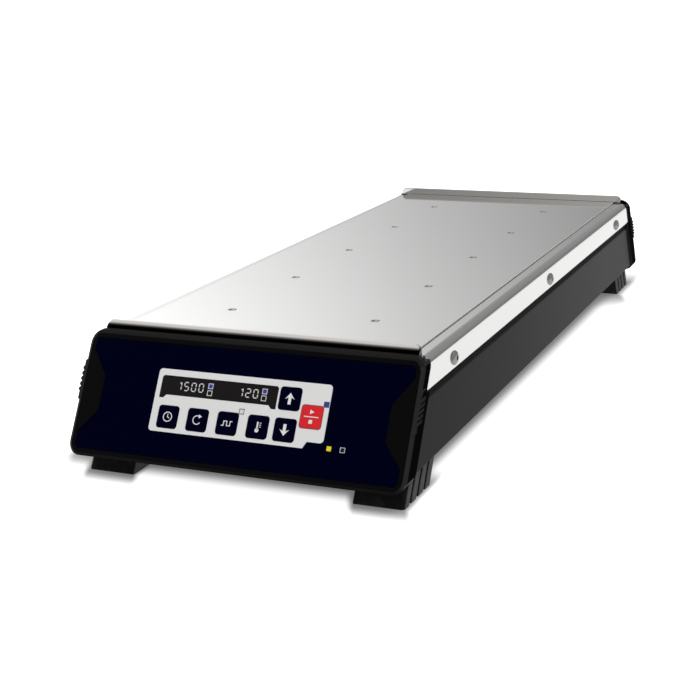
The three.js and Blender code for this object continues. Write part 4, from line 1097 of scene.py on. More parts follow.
@dataclass(frozen=True)
class Fibrous(Finish):
    """Woven or felted sheet, with printed lines where it has a pitch."""

    tint: str = "CFC8B4"
    shade: str = "B8AF98"
    specular: float = 0.2
    fibre_size: float = 1.2
    fibre_stretch: tuple[float, ...] = (1.0, 0.25, 1.0)
    least_roughness: float = 0.8
    roughness_sway: float = 0.1
    relief: float = 0.15
    pitch: float = 0.0
    line: str = "5A4A3A"
    line_share: float = 0.7
    line_span: Point = (0.55, 0.65)
    line_wobble: float = 0.6
    lined_fibre_share: float = 0.3

    def dress(self, surface: Surface) -> None:
        """Builds the sheet on a surface.

        Args:
            surface: The surface to dress.
        """
        fibre = surface.noise(self.fibre_size, self.fibre_stretch, Detail.FIBROUS)
        colour = surface.blend(fibre, paint(self.tint), paint(self.shade))
        relief = fibre
        if self.pitch > 0:
            scale = WAVE_PERIOD / (self.pitch * MM)
            wave = surface.node(
                "ShaderNodeTexWave",
                {"wave_type": "BANDS", "bands_direction": "Y"},
                {"Vector": surface.position, "Scale": scale, "Distortion": self.line_wobble},
            )
            lines = Field(surface, wave.outputs[1]).ramp(*self.line_span)
            colour = surface.blend(lines * self.line_share, colour, paint(self.line))
            relief = fibre * self.lined_fibre_share + lines
        surface.shade({
            "Base Color": colour,
            "Roughness": fibre * self.roughness_sway + self.least_roughness,
            "Specular IOR Level": self.specular,
            "Normal": surface.bump(relief, self.relief),
        })


PLATE_STEEL = PlateSteel("plate_steel", "plate_steel", tint="EFEFEE", roughness=0.075, grain=Grain.ALONG)
COVER_STEEL = CoverSteel("cover_steel", "cover_steel", tint="E2E2E1", grain=Grain.ALONG)
MARK_STEEL = MarkSteel("mark_steel", "plate_steel")
SCREW_STEEL = Metal("screw_steel", "screw_steel", tint="A2A2A2", roughness=0.5, grain_depth=0.002)
DECK_STEEL = Metal(
    "deck_steel", "deck_steel", tint="B9BBBD", roughness=0.42, cloud_size=12.0, unevenness=0.2,
)
ALUMINIUM = Metal("spreader_aluminium", "spreader_aluminium", tint="C5C7C9", roughness=0.4, unevenness=0.12)
PROBE_STEEL = Metal("probe_steel", "probe_steel", tint="C9C8C6", roughness=0.3)
CONTACT_METAL = Metal("contact_metal", "probe_steel", tint="D9CDA8", roughness=0.25)
TRAY_PAINT = TrayPaint(
    "tray_paint", "dark_painted_steel", tint="343434", roughness=0.55, specular=0.01,
    relief_size=0.9, relief_depth=0.03, dust=0.005,
)
PANEL_PAINT = Coating(
    "panel_paint", "dark_painted_steel", tint="2C2C2C", specular=0.17,
    relief_size=0.9, relief_depth=0.03, dust=0.01,
)
CAP_PLASTIC = CapPlastic(
    "cap_plastic", "black_moulding", tint="050505", roughness=0.42, specular=0.05,
    relief_size=0.35, relief_depth=0.012, dust=0.001,
)
CAP_SIDE_PLASTIC = CapSidePlastic(
    "cap_side_plastic", "black_moulding", tint="040404", roughness=0.6, specular=0.001,
    relief_size=0.35, relief_depth=0.012, dust=0.001,
)
FITTING_PLASTIC = Coating(
    "fitting_plastic", "black_plastic", tint="141414", roughness=0.4,
    relief_size=0.3, relief_depth=0.008, dust=0.004,
)
NAVY_FILM = Film("navy_film", "navy_film", tint="000019", specular=0.012, dust=0.0002)
NAVY_KEY = Film("navy_key", "navy_key", tint="00001A", roughness=0.45, specular=0.02, dust=0.0003)
GREY_FILM = Film("grey_film", "grey_film", tint="EAEAE9", specular=0.1)
RED_FILM = Film("red_film", "red_key", tint="E02A30", roughness=0.45, specular=0.08, dust=0.005)
PALE_INK = Ink("pale_ink", "grey_film", tint="EAEAEA")
DARK_INK = Ink("dark_ink", "navy_film", tint="4A4A50", dust=0.01)
RIM_INK = Ink("rim_ink", "grey_film", tint="8C7476", dust=0.01)
DIGIT_INK = Ink("digit_ink", "smoked_window", tint="DCDCDC")
FOOT_RUBBER = Rubber("foot_rubber", "foot_rubber")
SMOKED_WINDOW = Smoked("smoked_window", "smoked_window")
BLUE_LIGHT = Light("blue_light", "blue_lamp", "30349A", glow=0.08)
YELLOW_LIGHT = Light("yellow_light", "yellow_lamp", "D8C820", glow=0.08)
PALE_LIGHT = Light("pale_light", "pale_lamp", "D8D8D8")
CLEAR_LIGHT = Light("clear_light", "clear_lamp", "0A0A18")


# Studio


@dataclass
class PhotoCamera:
    """The camera that took the photograph."""

    place: tuple[float, float, float] = (0.33314, -0.87385, 0.27202)
    yaw: float = 23.49
    pitch: float = 15.83
    roll: float = -1.71
    lens: float = 72.009
    sensor: float = 36.0
    nearest: float = 0.01

    def build(self) -> None:
        """Makes the camera and looks through it."""
        yaw, pitch, roll = (math.radians(angle) for angle in (self.yaw, self.pitch, self.roll))
        forward = Vector((
            -math.sin(yaw) * math.cos(pitch), math.cos(yaw) * math.cos(pitch), -math.sin(pitch),
        ))
        level = Vector((math.cos(yaw), math.sin(yaw), 0.0))
        upright = level.cross(forward)
        right = level * math.cos(roll) + upright * math.sin(roll)
        up = upright * math.cos(roll) - level * math.sin(roll)
        data = bpy.data.cameras.new("photo_camera")
        data.lens = self.lens
        data.sensor_width = self.sensor
        data.clip_start = self.nearest
        made = bpy.data.objects.new("photo_camera", data)
        bpy.context.scene.collection.objects.link(made)
        turn = Matrix((right, up, -forward)).transposed().to_4x4()
        made.matrix_world = Matrix.Translation(self.place) @ turn
        bpy.context.scene.camera = made


@dataclass(frozen=True)
class ShadowPatch:
    """A patch of floor in shade, with soft edges, that leans aside in front and along its left."""

    middle: Point
    half: Point
    fade: Point
    sweep: float = 0.0
    lean_share: float = 0.436

    def clearance(self, x: Field, y: Field, growth: Field) -> Field:
        """Distance outside the patch, in widths of its soft edges.

        Args:
            x: Place across from its middle, in metres.
            y: Place along from its middle, in metres.
            growth: How much wider the side edges are; the end edges grow by its square.

        Returns:
            The distance, zero inside.
        """
        behind = y + self.half[1] * MM
        right = x + behind.maths("MINIMUM", behind, 0.0) * self.lean_share
        left = (x + behind.maths("MINIMUM", behind, self.sweep * MM) * self.lean_share) * -1
        squares = []
        sides = (right.maths("MAXIMUM", right, left), abs(y))
        for place, width, half, fade in zip(sides, (growth, growth * growth), self.half, self.fade):
            past = (place - half * MM) / (width * fade * MM)
            over = past.maths("MAXIMUM", past, 0.0)
            squares.append(over * over)
        total = squares[0] + squares[1]
        return total.maths("SQRT", total)


@dataclass
class Studio:
    """A pale sweep of floor, soft light from above and plain surroundings.

    The surroundings are stops round the horizon: an angle in degrees, a level and a warm share.
    """

    floor_reach: float = 8000.0
    floor_tint: float = 0.4
    floor_roughness: float = 0.9
    floor_bounce: float = 0.45
    floor_gloss: float = 0.71
    floor_shade: float = 0.15
    floor_light: float = 0.85
    floor_beyond: float = 0.5
    beyond_span: Point = (1.0, 2.5)
    mottle_size: float = 300.0
    mottle_share: float = 0.1
    mottled_share: float = 0.98
    dark_front: Point = (250.0, 450.0)
    body_shadow: ShadowPatch = ShadowPatch((-16.0, 3.5), (97.0, 246.5), (12.5, 32.0))
    foot_shadow: ShadowPatch = ShadowPatch((79.5, 241.5), (13.5, 18.5), (7.0, 44.0), 40.0)
    shadow_growth: float = 0.85
    lamp_size: float = 3.2
    lamp_place: tuple[float, float, float] = (0.4, -0.5, 2.6)
    lamp_tilt: tuple[float, float, float] = (-8.0, 8.0, 0.0)
    lamp_power: float = 52.0
    ambient: float = 0.46
    surroundings: tuple[tuple[float, float, float], ...] = (
        (-180.0, 0.56, 1.0), (-110.0, 0.5, 1.0), (-60.0, 0.28, 0.0), (-13.0, 0.28, 0.0),
        (6.0, 0.31, 0.0), (12.6, 0.37, 0.0), (20.5, 0.62, 0.0), (33.0, 1.15, 0.0),
        (70.0, 1.15, 0.0), (110.0, 0.7, 0.0), (150.0, 0.5, 1.0), (158.0, 0.36, 1.0), (160.0, 0.36, 1.0),
        (163.0, 0.42, 1.0), (167.0, 0.53, 1.0), (180.0, 0.56, 1.0),
    )
    low_gain: float = 0.87
    rise_gain: float = 0.22
    rise_span: Point = (0.15, 0.28)
    overhead: Rgba = (0.78, 0.75, 0.73, 1.0)
    overhead_span: Point = (0.42, 0.85)
    front_dimming: float = 0.5
    front_span: Point = (0.1, 0.65)
    warm: Rgba = (1.0, 0.965, 0.94, 1.0)

    def build(self) -> None:
        """Makes the floor, the lamp and the surroundings."""
        self.build_floor()
        self.build_lamp()
        self.build_world()
        bpy.context.scene.view_settings.view_transform = "Standard"

    def build_floor(self) -> None:
        """Makes the floor, which clips to white where no shadow falls."""
        reach = self.floor_reach * MM
        mesh = bpy.data.meshes.new("floor")
        corners = [(sx * reach, sy * reach, 0.0) for sx, sy in ((-1, -1), (1, -1), (1, 1), (-1, 1))]
        mesh.from_pydata(corners, [], [(0, 1, 2, 3)])
        floor = bpy.data.objects.new("floor", mesh)
        bpy.context.scene.collection.objects.link(floor)
        surface = Surface("floor_white")
        path = surface.node("ShaderNodeLightPath").outputs
        seen, glossy = (Field(surface, path[name]) for name in ("Is Camera Ray", "Is Glossy Ray"))
        start, end = (size * MM for size in self.dark_front)
        flagged = glossy * (surface.y * -1).ramp(start, end)
        bounce = (glossy * (self.floor_gloss - self.floor_bounce) + self.floor_bounce) * (1 - flagged)
        mottle = surface.noise(self.mottle_size) * self.mottle_share
        pale = surface.blend(mottle, grey(self.floor_tint), grey(self.floor_tint * self.mottled_share))
        surface.shade({
            "Base Color": surface.blend(flagged, pale, grey(0.0)),
            "Roughness": self.floor_roughness,
            "Specular IOR Level": 0.0,
            "Emission Color": seen * (self.shadowed(surface) - bounce) + bounce,
            "Emission Strength": 1.0,
        })
        mesh.materials.append(surface.material)

    def shadowed(self, surface: Surface) -> Field:
        """How bright the floor looks: dark under the body and behind the four feet.

        Args:
            surface: The floor's surface.

        Returns:
            Its level, past one where the floor clips to white.
        """
        growth = surface.y * self.shadow_growth + 1
        axes = (surface.x, surface.y)
        body, feet = self.body_shadow, self.foot_shadow
        under_body = [axis - place * MM for axis, place in zip(axes, body.middle)]
        under_foot = [
            axis - ((axis > 0) * 2 - 1) * (place * MM) for axis, place in zip(axes, feet.middle)
        ]
        past_body = body.clearance(*under_body, growth)
        past_feet = feet.clearance(*under_foot, growth)
        near = past_body.ramp(0.0, 1.0) * past_feet.ramp(0.0, 1.0)
        beyond = past_body.ramp(*self.beyond_span)
        return near * self.floor_light + beyond * self.floor_beyond + self.floor_shade

    def build_lamp(self) -> None:
        """Makes the large soft lamp above."""
        light = bpy.data.lights.new("soft_lamp", "AREA")
        light.shape = "SQUARE"
        light.size = self.lamp_size
        light.energy = self.lamp_power
        lamp = bpy.data.objects.new("soft_lamp", light)
        lamp.location = self.lamp_place
        lamp.rotation_euler = [math.radians(angle) for angle in self.lamp_tilt]
        lamp.visible_glossy = False
        lamp.visible_camera = False
        bpy.context.scene.collection.objects.link(lamp)

    def build_world(self) -> None:
        """Makes what is seen straight on, in gloss and by soft light."""
        world = bpy.data.worlds.new("studio")
        bpy.context.scene.world = world
        world.use_nodes = True
        board = NodeBoard(world.node_tree)
        ray = board.node("ShaderNodeLightPath").outputs
        glossy, seen, through = (
            Field(board, ray[name]) for name in ("Is Glossy Ray", "Is Camera Ray", "Is Transmission Ray")
        )
        direction = board.node("ShaderNodeTexCoord").outputs["Generated"]
        axes = board.node("ShaderNodeSeparateXYZ", inputs={0: direction}).outputs
        x, y, z = (Field(board, axis) for axis in axes)
        turn = x.maths("ARCTAN2", x * -1, y) / math.tau + 0.5
        top = max(level for _, level, _ in self.surroundings)
        stops = [
            (angle / 360 + 0.5, self.toned(level / top, warmth))
            for angle, level, warmth in self.surroundings
        ]
        around = board.node("ShaderNodeValToRGB", {"stops": stops}, {0: turn}).outputs[0]
        rise = z.ramp(*self.rise_span) * self.rise_gain + self.low_gain
        bright = self.scaled(board, around, rise * top)
        dimming = (y * -1).ramp(*self.front_span) * self.front_dimming
        overhead = self.scaled(board, self.overhead[:3], 1 - dimming)
        gloss = board.blend(z.ramp(*self.overhead_span), bright, overhead)
        gloss = board.blend(z < 0, gloss, grey(1.0))
        colour = board.blend(glossy, grey(self.ambient), gloss)
        colour = board.blend(seen.maths("MAXIMUM", seen, through), colour, grey(1.0))
        backdrop = board.node("ShaderNodeBackground", inputs={"Color": colour, "Strength": 1.0})
        board.node("ShaderNodeOutputWorld", inputs={0: backdrop.outputs[0]})

    def toned(self, level: float, warmth: float) -> Rgba:
        """A grey level, warmed by a share."""
        return tuple(level * (1 - warmth + warmth * tone) for tone in self.warm[:3]) + (1.0,)

    @staticmethod
    def scaled(board: NodeBoard, colour: object, factor: Field) -> Socket:
        """A colour, or a link to one, times a factor."""
        inputs = {0: colour, "Scale": factor}
        return board.node("ShaderNodeVectorMath", {"operation": "SCALE"}, inputs).outputs[0]


# Sub-assemblies


FACE = Matrix.Translation((0.0, -FACE_REACH, PLATE_LEVEL)) @ Matrix.Rotation(math.radians(FACE_LEAN), 4, "X")


def refined(node: str, finish: Finish, width: float, segments: int = 2, body: str = CHASSIS) -> None:
    """Stands a CAD node's shape in for the node, finished and with its edges rounded to a width."""
    solid = Solid.from_node(node).softened(width, segments)
    solid.piece(f"{node}_rounded", finish, body, [node])


@dataclass
class WorkSurface:
    """The polished work plate with its ten stirring marks."""

    half_width: float = 87.8
    half_length: float = 229.0
    corner: float = 1.5
    sheet: float = 0.8
    edge: float = 0.4
    crease: float = 14.0
    mark_radius: float = 2.7
    mark_depth: float = 0.35
    mark_facets: int = 32
    mark_rings: tuple[float, ...] = (0.05, 1 / 6, 2 / 6, 3 / 6, 4 / 6, 5 / 6, 1.0, 8 / 6)
    skin_share: float = 0.05
    facing: float = 0.5
    pitch_across: float = 90.0
    pitch_along: float = 87.1
    columns: int = 2
    rows: int = 5

    def stations(self) -> list[Point]:
        """Middle of every stirring point."""
        xs = [(column - (self.columns - 1) / 2) * self.pitch_across for column in range(self.columns)]
        ys = [(row - (self.rows - 1) / 2) * self.pitch_along for row in range(self.rows)]
        return [(x, y) for y in ys for x in xs]

    def mark(self, place: Point) -> Solid:
        """The ball that presses one mark into the plate.

        Args:
            place: The mark's middle.

        Returns:
            The lower part of the ball.
        """
        ball = (self.mark_radius ** 2 + self.mark_depth ** 2) / (2 * self.mark_depth)
        reach = math.asin(self.mark_radius / ball)
        angles = [reach * share for share in self.mark_rings]
        profile = [(ball * math.sin(a), ball * (math.cos(reach) - math.cos(a))) for a in angles]
        return Solid.lathe(profile, self.mark_facets).shifted(*place, PLATE_LEVEL)

    def build(self) -> None:
        """Makes the plate."""
        outline = rectangle((0.0, 0.0), 2 * self.half_width, 2 * self.half_length, self.corner)
        plate = Solid.prism(outline, PLATE_LEVEL - self.sheet, PLATE_LEVEL).softened(self.edge, 4)
        for place in self.stations():
            plate = plate.cut(self.mark(place))
        plate.picked(self.in_mark)
        plate.piece(
            "plate_skin", PLATE_STEEL, stands_for=["work_plate"], crease=self.crease, second=MARK_STEEL
        )

    def in_mark(self, middle: Vector, normal: Vector) -> bool:
        """Whether a face lies in a dimple.

        Args:
            middle: The face's middle.
            normal: Its normal.

        Returns:
            True for a face of a dimple.
        """
        near = any((middle.xy - Vector(place)).length < self.mark_radius for place in self.stations())
        sunk = middle.z < PLATE_LEVEL - self.mark_depth * self.skin_share
        return near and normal.z > self.facing and sunk


@dataclass
class Cover:
    """The steel frame round the plate, with its bent skirts and its two rolled lips."""

    half_width: float = 93.0
    half_length: float = 233.5
    level: float = 73.1
    underside: float = 72.2
    lip_width: float = 4.5
    lip_top: float = 79.05
    lip_step: float = 8.0
    lip_outer_round: float = 4.0
    lip_inner_round: float = 0.6
    lip_seat_round: float = 0.2
    lip_end_round: float = 3.0
    lip_end_steps: int = 8
    undercut: float = 0.45
    undercut_rise: float = 1.1
    edge: float = 0.12
    clearance: float = 1.0

    def lip_section(self) -> list[Point]:
        """Outline of the front lip in (y, z): rounded outside, steep inside and undercut at its foot."""
        outer, inner = -self.half_length, -self.half_length + self.lip_width
        top, seat = self.lip_top, self.level + self.undercut_rise
        return filleted([
            (outer, self.underside, 0),
            (inner - self.undercut, self.underside, 0),
            (inner - self.undercut, seat - self.undercut, 0),
            (inner, seat, self.lip_seat_round),
            (inner, top, self.lip_inner_round),
            (outer, top, self.lip_outer_round),
        ], self.lip_step)

    def front_lip(self) -> Solid:
        """The front lip, whose two ends round down to the cover."""
        section = self.lip_section()
        full = self.lip_top - self.level
        ends = []
        for i in range(self.lip_end_steps + 1):
            angle = math.radians(90.0 * i / self.lip_end_steps)
            inset = self.lip_end_round * (1 - math.cos(angle))
            ends.append((inset - self.half_width, self.lip_end_round * (1 - math.sin(angle))))
        rings = []
        for x, drop in ends + [(-x, drop) for x, drop in reversed(ends)]:
            share = (full - drop) / full
            rings.append([(x, y, min(z, self.level + (z - self.level) * share)) for y, z in section])
        return Solid.loft(rings)

    def build(self) -> None:
        """Makes the cover with its lips."""
        cover = Solid.from_node("top_cover")
        width = 2 * (self.half_width + self.clearance)
        depth = self.lip_width + self.clearance
        place = self.half_length + self.clearance - depth / 2
        for end in (-1, 1):
            outline = rectangle((0.0, end * place), width, depth)
            cover = cover.cut(Solid.prism(outline, self.level, self.lip_top + 2 * self.clearance))
        cover.softened(self.edge, 2, FOLD_TURN)
        front = self.front_lip()
        rear = front.copied().placed(Matrix.Rotation(math.pi, 4, "Z"))
        cover.joined(front, rear).piece("cover_shell", COVER_STEEL, stands_for=["top_cover"])


@dataclass
class Housing:
    """The painted tray with its folded lower edges."""

    half_width: float = 96.5
    floor: float = 16.0
    fold: float = 1.4
    edge: float = 0.15

    def is_fold(self, edge: bmesh.types.BMEdge) -> bool:
        """Whether an edge is one of the two long lower ones.

        Args:
            edge: The edge.

        Returns:
            True for a fold.
        """
        return all(
            abs(abs(vertex.co.x) - self.half_width) < self.edge and abs(vertex.co.z - self.floor) < self.edge
            for vertex in edge.verts
        )

    def build(self) -> None:
        """Makes the tray."""
        tray = Solid.from_node("base_housing").softened(self.fold, 5, where=self.is_fold)
        tray.softened(self.edge, 2, FOLD_TURN).piece("housing_tray", TRAY_PAINT, stands_for=["base_housing"])


@dataclass
class EndCaps:
    """The two black mouldings at the ends, more matt on their sides."""

    edge: float = 0.35
    side_lean: float = 0.9

    def build(self) -> None:
        """Makes both caps."""
        for node in ("front_end_cap", "rear_end_cap"):
            solid = Solid.from_node(node).softened(self.edge, 3)
            solid.picked(lambda middle, normal: abs(normal.x) > self.side_lean)
            solid.piece(f"{node}_rounded", CAP_PLASTIC, stands_for=[node], second=CAP_SIDE_PLASTIC)


@dataclass
class Digits:
    """Thin seven-segment figures."""

    width: float = 3.0
    height: float = 5.0
    stroke: float = 0.52
    gap_share: float = 0.6
    proud: float = 0.03
    flag: float = 0.9
    shapes: Mapping[str, str] = field(default_factory=lambda: {
        "0": "abcdef", "1": "bch", "2": "abged", "5": "afgcd",
    })

    def segment(self, letter: str) -> list[Point]:
        """Ends of one segment, about the figure's middle.

        Args:
            letter: The segment's usual letter, from a to g, or h for the one's flag.

        Returns:
            Its first and last point.
        """
        across = (self.width - self.stroke) / 2
        up = (self.height - self.stroke) / 2
        gap = self.stroke * self.gap_share
        places = {
            "a": [(-across + gap, up), (across - gap, up)],
            "b": [(across, up - gap), (across, gap)],
            "c": [(across, -gap), (across, -up + gap)],
            "d": [(-across + gap, -up), (across - gap, -up)],
            "e": [(-across, -gap), (-across, -up + gap)],
            "f": [(-across, up - gap), (-across, gap)],
            "g": [(-across + gap, 0.0), (across - gap, 0.0)],
            "h": [(across - self.flag, up - self.flag), (across - gap, up - gap)],
        }
        return places[letter]

    def figure(self, figure: str) -> Solid:
        """One figure about its own middle.

        Args:
            figure: The figure to show.

        Returns:
            Its segments as one solid in the face's frame.
        """
        paths = [self.segment(letter) for letter in self.shapes[figure]]
        segments = [Solid.band(path, self.stroke, 0.0, self.proud) for path in paths]
        return segments[0].joined(*segments[1:])


@dataclass
class KeyMarks:
    """The signs on the keys, each about its own middle in the face's frame."""

    stroke: float = 0.5
    thin_stroke: float = 0.45
    tick_stroke: float = 0.35
    clock_radius: float = 2.5
    clock_hands: tuple[Point, ...] = ((0.0, 1.6), (0.0, 0.0), (1.2, -0.7))
    turn_radius: float = 2.3
    turn_ends: Point = (60.0, 330.0)
    turn_tip: tuple[Point, ...] = ((2.65, 2.0), (0.9, 3.1), (0.9, 0.9))
    wave: tuple[Point, ...] = (
        (-3.2, -1.2), (-1.9, -1.2), (-1.9, 1.2), (0.0, 1.2),
        (0.0, -1.2), (1.9, -1.2), (1.9, 1.2), (3.2, 1.2),
    )
    bulb: Point = (0.0, -1.8)
    bulb_radius: float = 1.15
    tube: Point = (0.0, 0.6)
    tube_size: Point = (0.9, 4.4)
    tube_corner: float = 0.44
    tick_ends: Point = (1.1, 2.1)
    tick_rises: tuple[float, ...] = (0.0, 1.1, 2.2)
    arrow_half: tuple[Point, ...] = ((0.0, 3.1), (2.75, -0.35), (0.85, 0.65), (0.85, -3.1))
    line_half: float = 4.1
    triangle: tuple[Point, ...] = ((-1.0, 1.4), (1.4, 2.6), (-1.0, 3.8))
    square: Point = (0.0, -2.6)
    square_size: float = 2.0

    def clock(self) -> Solid:
        """A clock's ring and hands."""
        ring = Solid.band(circle((0.0, 0.0), self.clock_radius, 36), self.stroke, 0.0, INK, True)
        return ring.joined(Solid.band(self.clock_hands, self.thin_stroke, 0.0, INK))

    def turning_arrow(self) -> Solid:
        """An arrow that runs round."""
        ring = Solid.band(arc(self.turn_radius, self.turn_ends, 26), self.stroke, 0.0, INK)
        return ring.joined(Solid.prism(self.turn_tip, 0.0, INK))

    def square_wave(self) -> Solid:
        """A square wave."""
        return Solid.band(self.wave, self.thin_stroke, 0.0, INK)

    def thermometer(self) -> Solid:
        """A thermometer's bulb and tube, with its scale."""
        bulb = Solid.prism(circle(self.bulb, self.bulb_radius, 28), 0.0, INK)
        tube = Solid.prism(rectangle(self.tube, *self.tube_size, self.tube_corner), 0.0, INK)
        ticks = [
            Solid.band([(end, rise) for end in self.tick_ends], self.tick_stroke, 0.0, INK)
            for rise in self.tick_rises
        ]
        return bulb.joined(tube, *ticks)

    def arrow(self, way: int) -> Solid:
        """A broad arrow that points up for one, and down for minus one."""
        left = [(-x, y) for x, y in reversed(self.arrow_half[1:])]
        return Solid.prism([(x, way * y) for x, y in (*self.arrow_half, *left)], 0.0, INK)

    def start_stop(self) -> Solid:
        """A line with a triangle above it and a square below."""
        line = Solid.band([(-self.line_half, 0.0), (self.line_half, 0.0)], self.stroke, 0.0, INK)
        square = rectangle(self.square, self.square_size, self.square_size)
        return line.joined(Solid.prism(self.triangle, 0.0, INK), Solid.prism(square, 0.0, INK))


@dataclass
class FrontPanel:
    """The films, window, keys and lamps on the leaning front face."""

    film_edge: float = 0.08
    module_edge: float = 0.2
    key_edge: float = 0.25
    lamp_edge: float = 0.12
    key_row: float = -43.6
    key_top: float = 0.3
    columns: tuple[float, ...] = (-40.725, -22.875, -5.025, 12.825)
    arrow_column: float = 28.425
    up_row: float = -26.95
    start_place: Point = (42.125, -35.275)
    start_rim: float = 12.5
    start_rim_corner: float = 1.7
    digits: Digits = field(default_factory=Digits)
    marks: KeyMarks = field(default_factory=KeyMarks)
    rim_line: float = 0.22
    square: float = 2.6
    square_line: float = 0.36
    lit_squares: tuple[Point, ...] = ((-18.6, -24.7), (13.35, -24.5))
    unlit_squares: tuple[Point, ...] = ((-18.6, -28.5), (13.4, -28.2))
    lamp_size: float = 2.5
    lamp_places: Mapping[str, Point] = field(default_factory=lambda: {
        "run": (49.325, -28.075), "pulse": (2.175, -36.4), "hot": (62.325, -50.5),
    })
    readings: tuple[tuple[str, float, float], ...] = (
        ("1", -37.4, -26.2), ("5", -33.05, -26.2), ("0", -28.65, -26.2), ("0", -24.15, -26.2),
        ("1", -0.6, -26.25), ("2", 3.9, -26.25), ("0", 8.3, -26.25),
    )

    def build(self) -> None:
        """Makes everything on the face."""
        refined("front_overlay", NAVY_FILM, self.film_edge)
        refined("keypad_panel", GREY_FILM, self.film_edge)
        refined("display_window", SMOKED_WINDOW, self.film_edge)
        refined("display_module", FITTING_PLASTIC, self.module_edge)
        self.build_readings()
        self.build_keys()
        self.build_lamps()

    def on_face(self, solid: Solid, level: float = 0.0) -> Solid:
        """Lays a solid on the face at a level, and returns it."""
        return solid.shifted(0.0, 0.0, level).placed(FACE)

    def build_readings(self) -> None:
        """Makes the figures and the small squares in the window."""
        figures = [self.digits.figure(figure).shifted(x, v, 0.0) for figure, x, v in self.readings]
        self.on_face(figures[0].joined(*figures[1:])).piece("display_figures", DIGIT_INK)
        for name, places, finish in (
            ("display_lit_squares", self.lit_squares, BLUE_LIGHT),
            ("display_unlit_squares", self.unlit_squares, SMOKED_WINDOW),
        ):
            squares, outlines = Solid(), Solid()
            for place in places:
                outline = rectangle(place, self.square, self.square)
                squares.joined(Solid.prism(outline, 0.0, INK / 2))
                outlines.joined(Solid.band(outline, self.square_line, 0.0, INK, True))
            self.on_face(squares).piece(name, finish)
            self.on_face(outlines).piece(f"{name}_outline", DIGIT_INK)

    def build_keys(self) -> None:
        """Makes the key caps and the marks on them."""
        for name in ("timer", "speed", "pulse", "heat", "down", "up"):
            refined(f"key_{name}", NAVY_KEY, self.key_edge, 3, f"key_{name}")
        refined("key_start_stop", RED_FILM, self.key_edge, 3, "key_start_stop")
        row, marks = self.key_row, self.marks
        for name, mark, place in (
            ("timer", marks.clock(), (self.columns[0], row)),
            ("speed", marks.turning_arrow(), (self.columns[1], row)),
            ("pulse", marks.square_wave(), (self.columns[2], row)),
            ("heat", marks.thermometer(), (self.columns[3], row)),
            ("down", marks.arrow(-1), (self.arrow_column, row)),
            ("up", marks.arrow(1), (self.arrow_column, self.up_row)),
            ("start_stop", marks.start_stop(), self.start_place),
        ):
            self.on_face(mark.shifted(*place, 0.0), self.key_top)
            mark.piece(f"mark_{name}", PALE_INK, f"key_{name}")
        hole = rectangle(self.start_place, self.start_rim, self.start_rim, self.start_rim_corner)
        rim = Solid.band(hole, self.rim_line, 0.0, INK, True)
        self.on_face(rim).piece("start_key_rim", RIM_INK)

    def build_lamps(self) -> None:
        """Makes the four light pipes."""
        finishes = {
            "lamp_run": BLUE_LIGHT, "lamp_pulse": PALE_LIGHT,
            "lamp_heating": YELLOW_LIGHT, "lamp_hot": CLEAR_LIGHT,
        }
        for node, finish in finishes.items():
            refined(node, finish, self.lamp_edge)
        rims = {"run": DARK_INK, "pulse": DARK_INK, "hot": PALE_INK}
        for name, finish in rims.items():
            outline = rectangle(self.lamp_places[name], self.lamp_size, self.lamp_size)
            rim = Solid.band(outline, self.rim_line, 0.0, INK, True)
            self.on_face(rim).piece(f"lamp_{name}_rim", finish)


@dataclass
class Feet:
    """Four grooved rubber feet."""

    edge: float = 0.5

    def build(self) -> None:
        """Makes the feet."""
        for end in ("front", "rear"):
            for side in ("left", "right"):
                refined(f"foot_{end}_{side}", FOOT_RUBBER, self.edge, 3)


@dataclass
class Fasteners:
    """Domed screws with a hexagon socket, and the plainer ones under the feet."""

    head_radius: float = 4.0
    head_height: float = 2.2
    head_facets: int = 48
    dome_step: float = 8.0
    dome_rings: int = 9
    dome_power: float = 0.85
    seat_share: float = 0.97
    seat_rise: float = 0.15
    shank_radius: float = 2.0
    shank_length: float = 6.0
    socket_radius: float = 1.5
    socket_depth: float = 1.3
    clearance: float = 1.0
    foot_screw_edge: float = 0.15

    def screw(self) -> Solid:
        """One screw, its seat at zero and its head above."""
        profile = [
            (self.shank_radius, -self.shank_length),
            (self.shank_radius, 0.0),
            (self.head_radius * self.seat_share, 0.0),
            (self.head_radius, self.seat_rise),
        ]
        for k in range(self.dome_rings):
            angle = math.radians(self.dome_step * (k + 1))
            height = self.head_height * math.sin(angle) ** self.dome_power
            profile.append((self.head_radius * math.cos(angle), height))
        head = Solid.lathe(profile, self.head_facets)
        hexagon = circle((0.0, 0.0), self.socket_radius, 6)
        floor = self.head_height - self.socket_depth
        return head.cut(Solid.prism(hexagon, floor, self.head_height + self.clearance))

    def build(self) -> None:
        """Makes every screw where its node is."""
        screw = self.screw()
        for side in ("right", "left"):
            for number in (1, 2, 3):
                self.build_skirt_screw(screw, side, number)
        for number in (1, 2, 3, 4):
            refined(f"foot_screw_{number}", SCREW_STEEL, self.foot_screw_edge)

    def build_skirt_screw(self, screw: Solid, side: str, number: int) -> None:
        """Makes one screw of a skirt.

        Args:
            screw: The screw's shape.
            side: The skirt's side.
            number: The screw's number from the front.
        """
        node = f"skirt_screw_{side}_{number}"
        low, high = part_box(node)
        middle = (low + high) / 2 / MM
        out = 1 if side == "right" else -1
        seat = (high.x if out > 0 else low.x) / MM - out * self.head_height
        copy = screw.copied().placed(Matrix.Rotation(math.radians(90.0 * out), 4, "Y"))
        copy.shifted(seat, middle.y, middle.z).piece(f"{node}_domed", SCREW_STEEL, stands_for=[node])


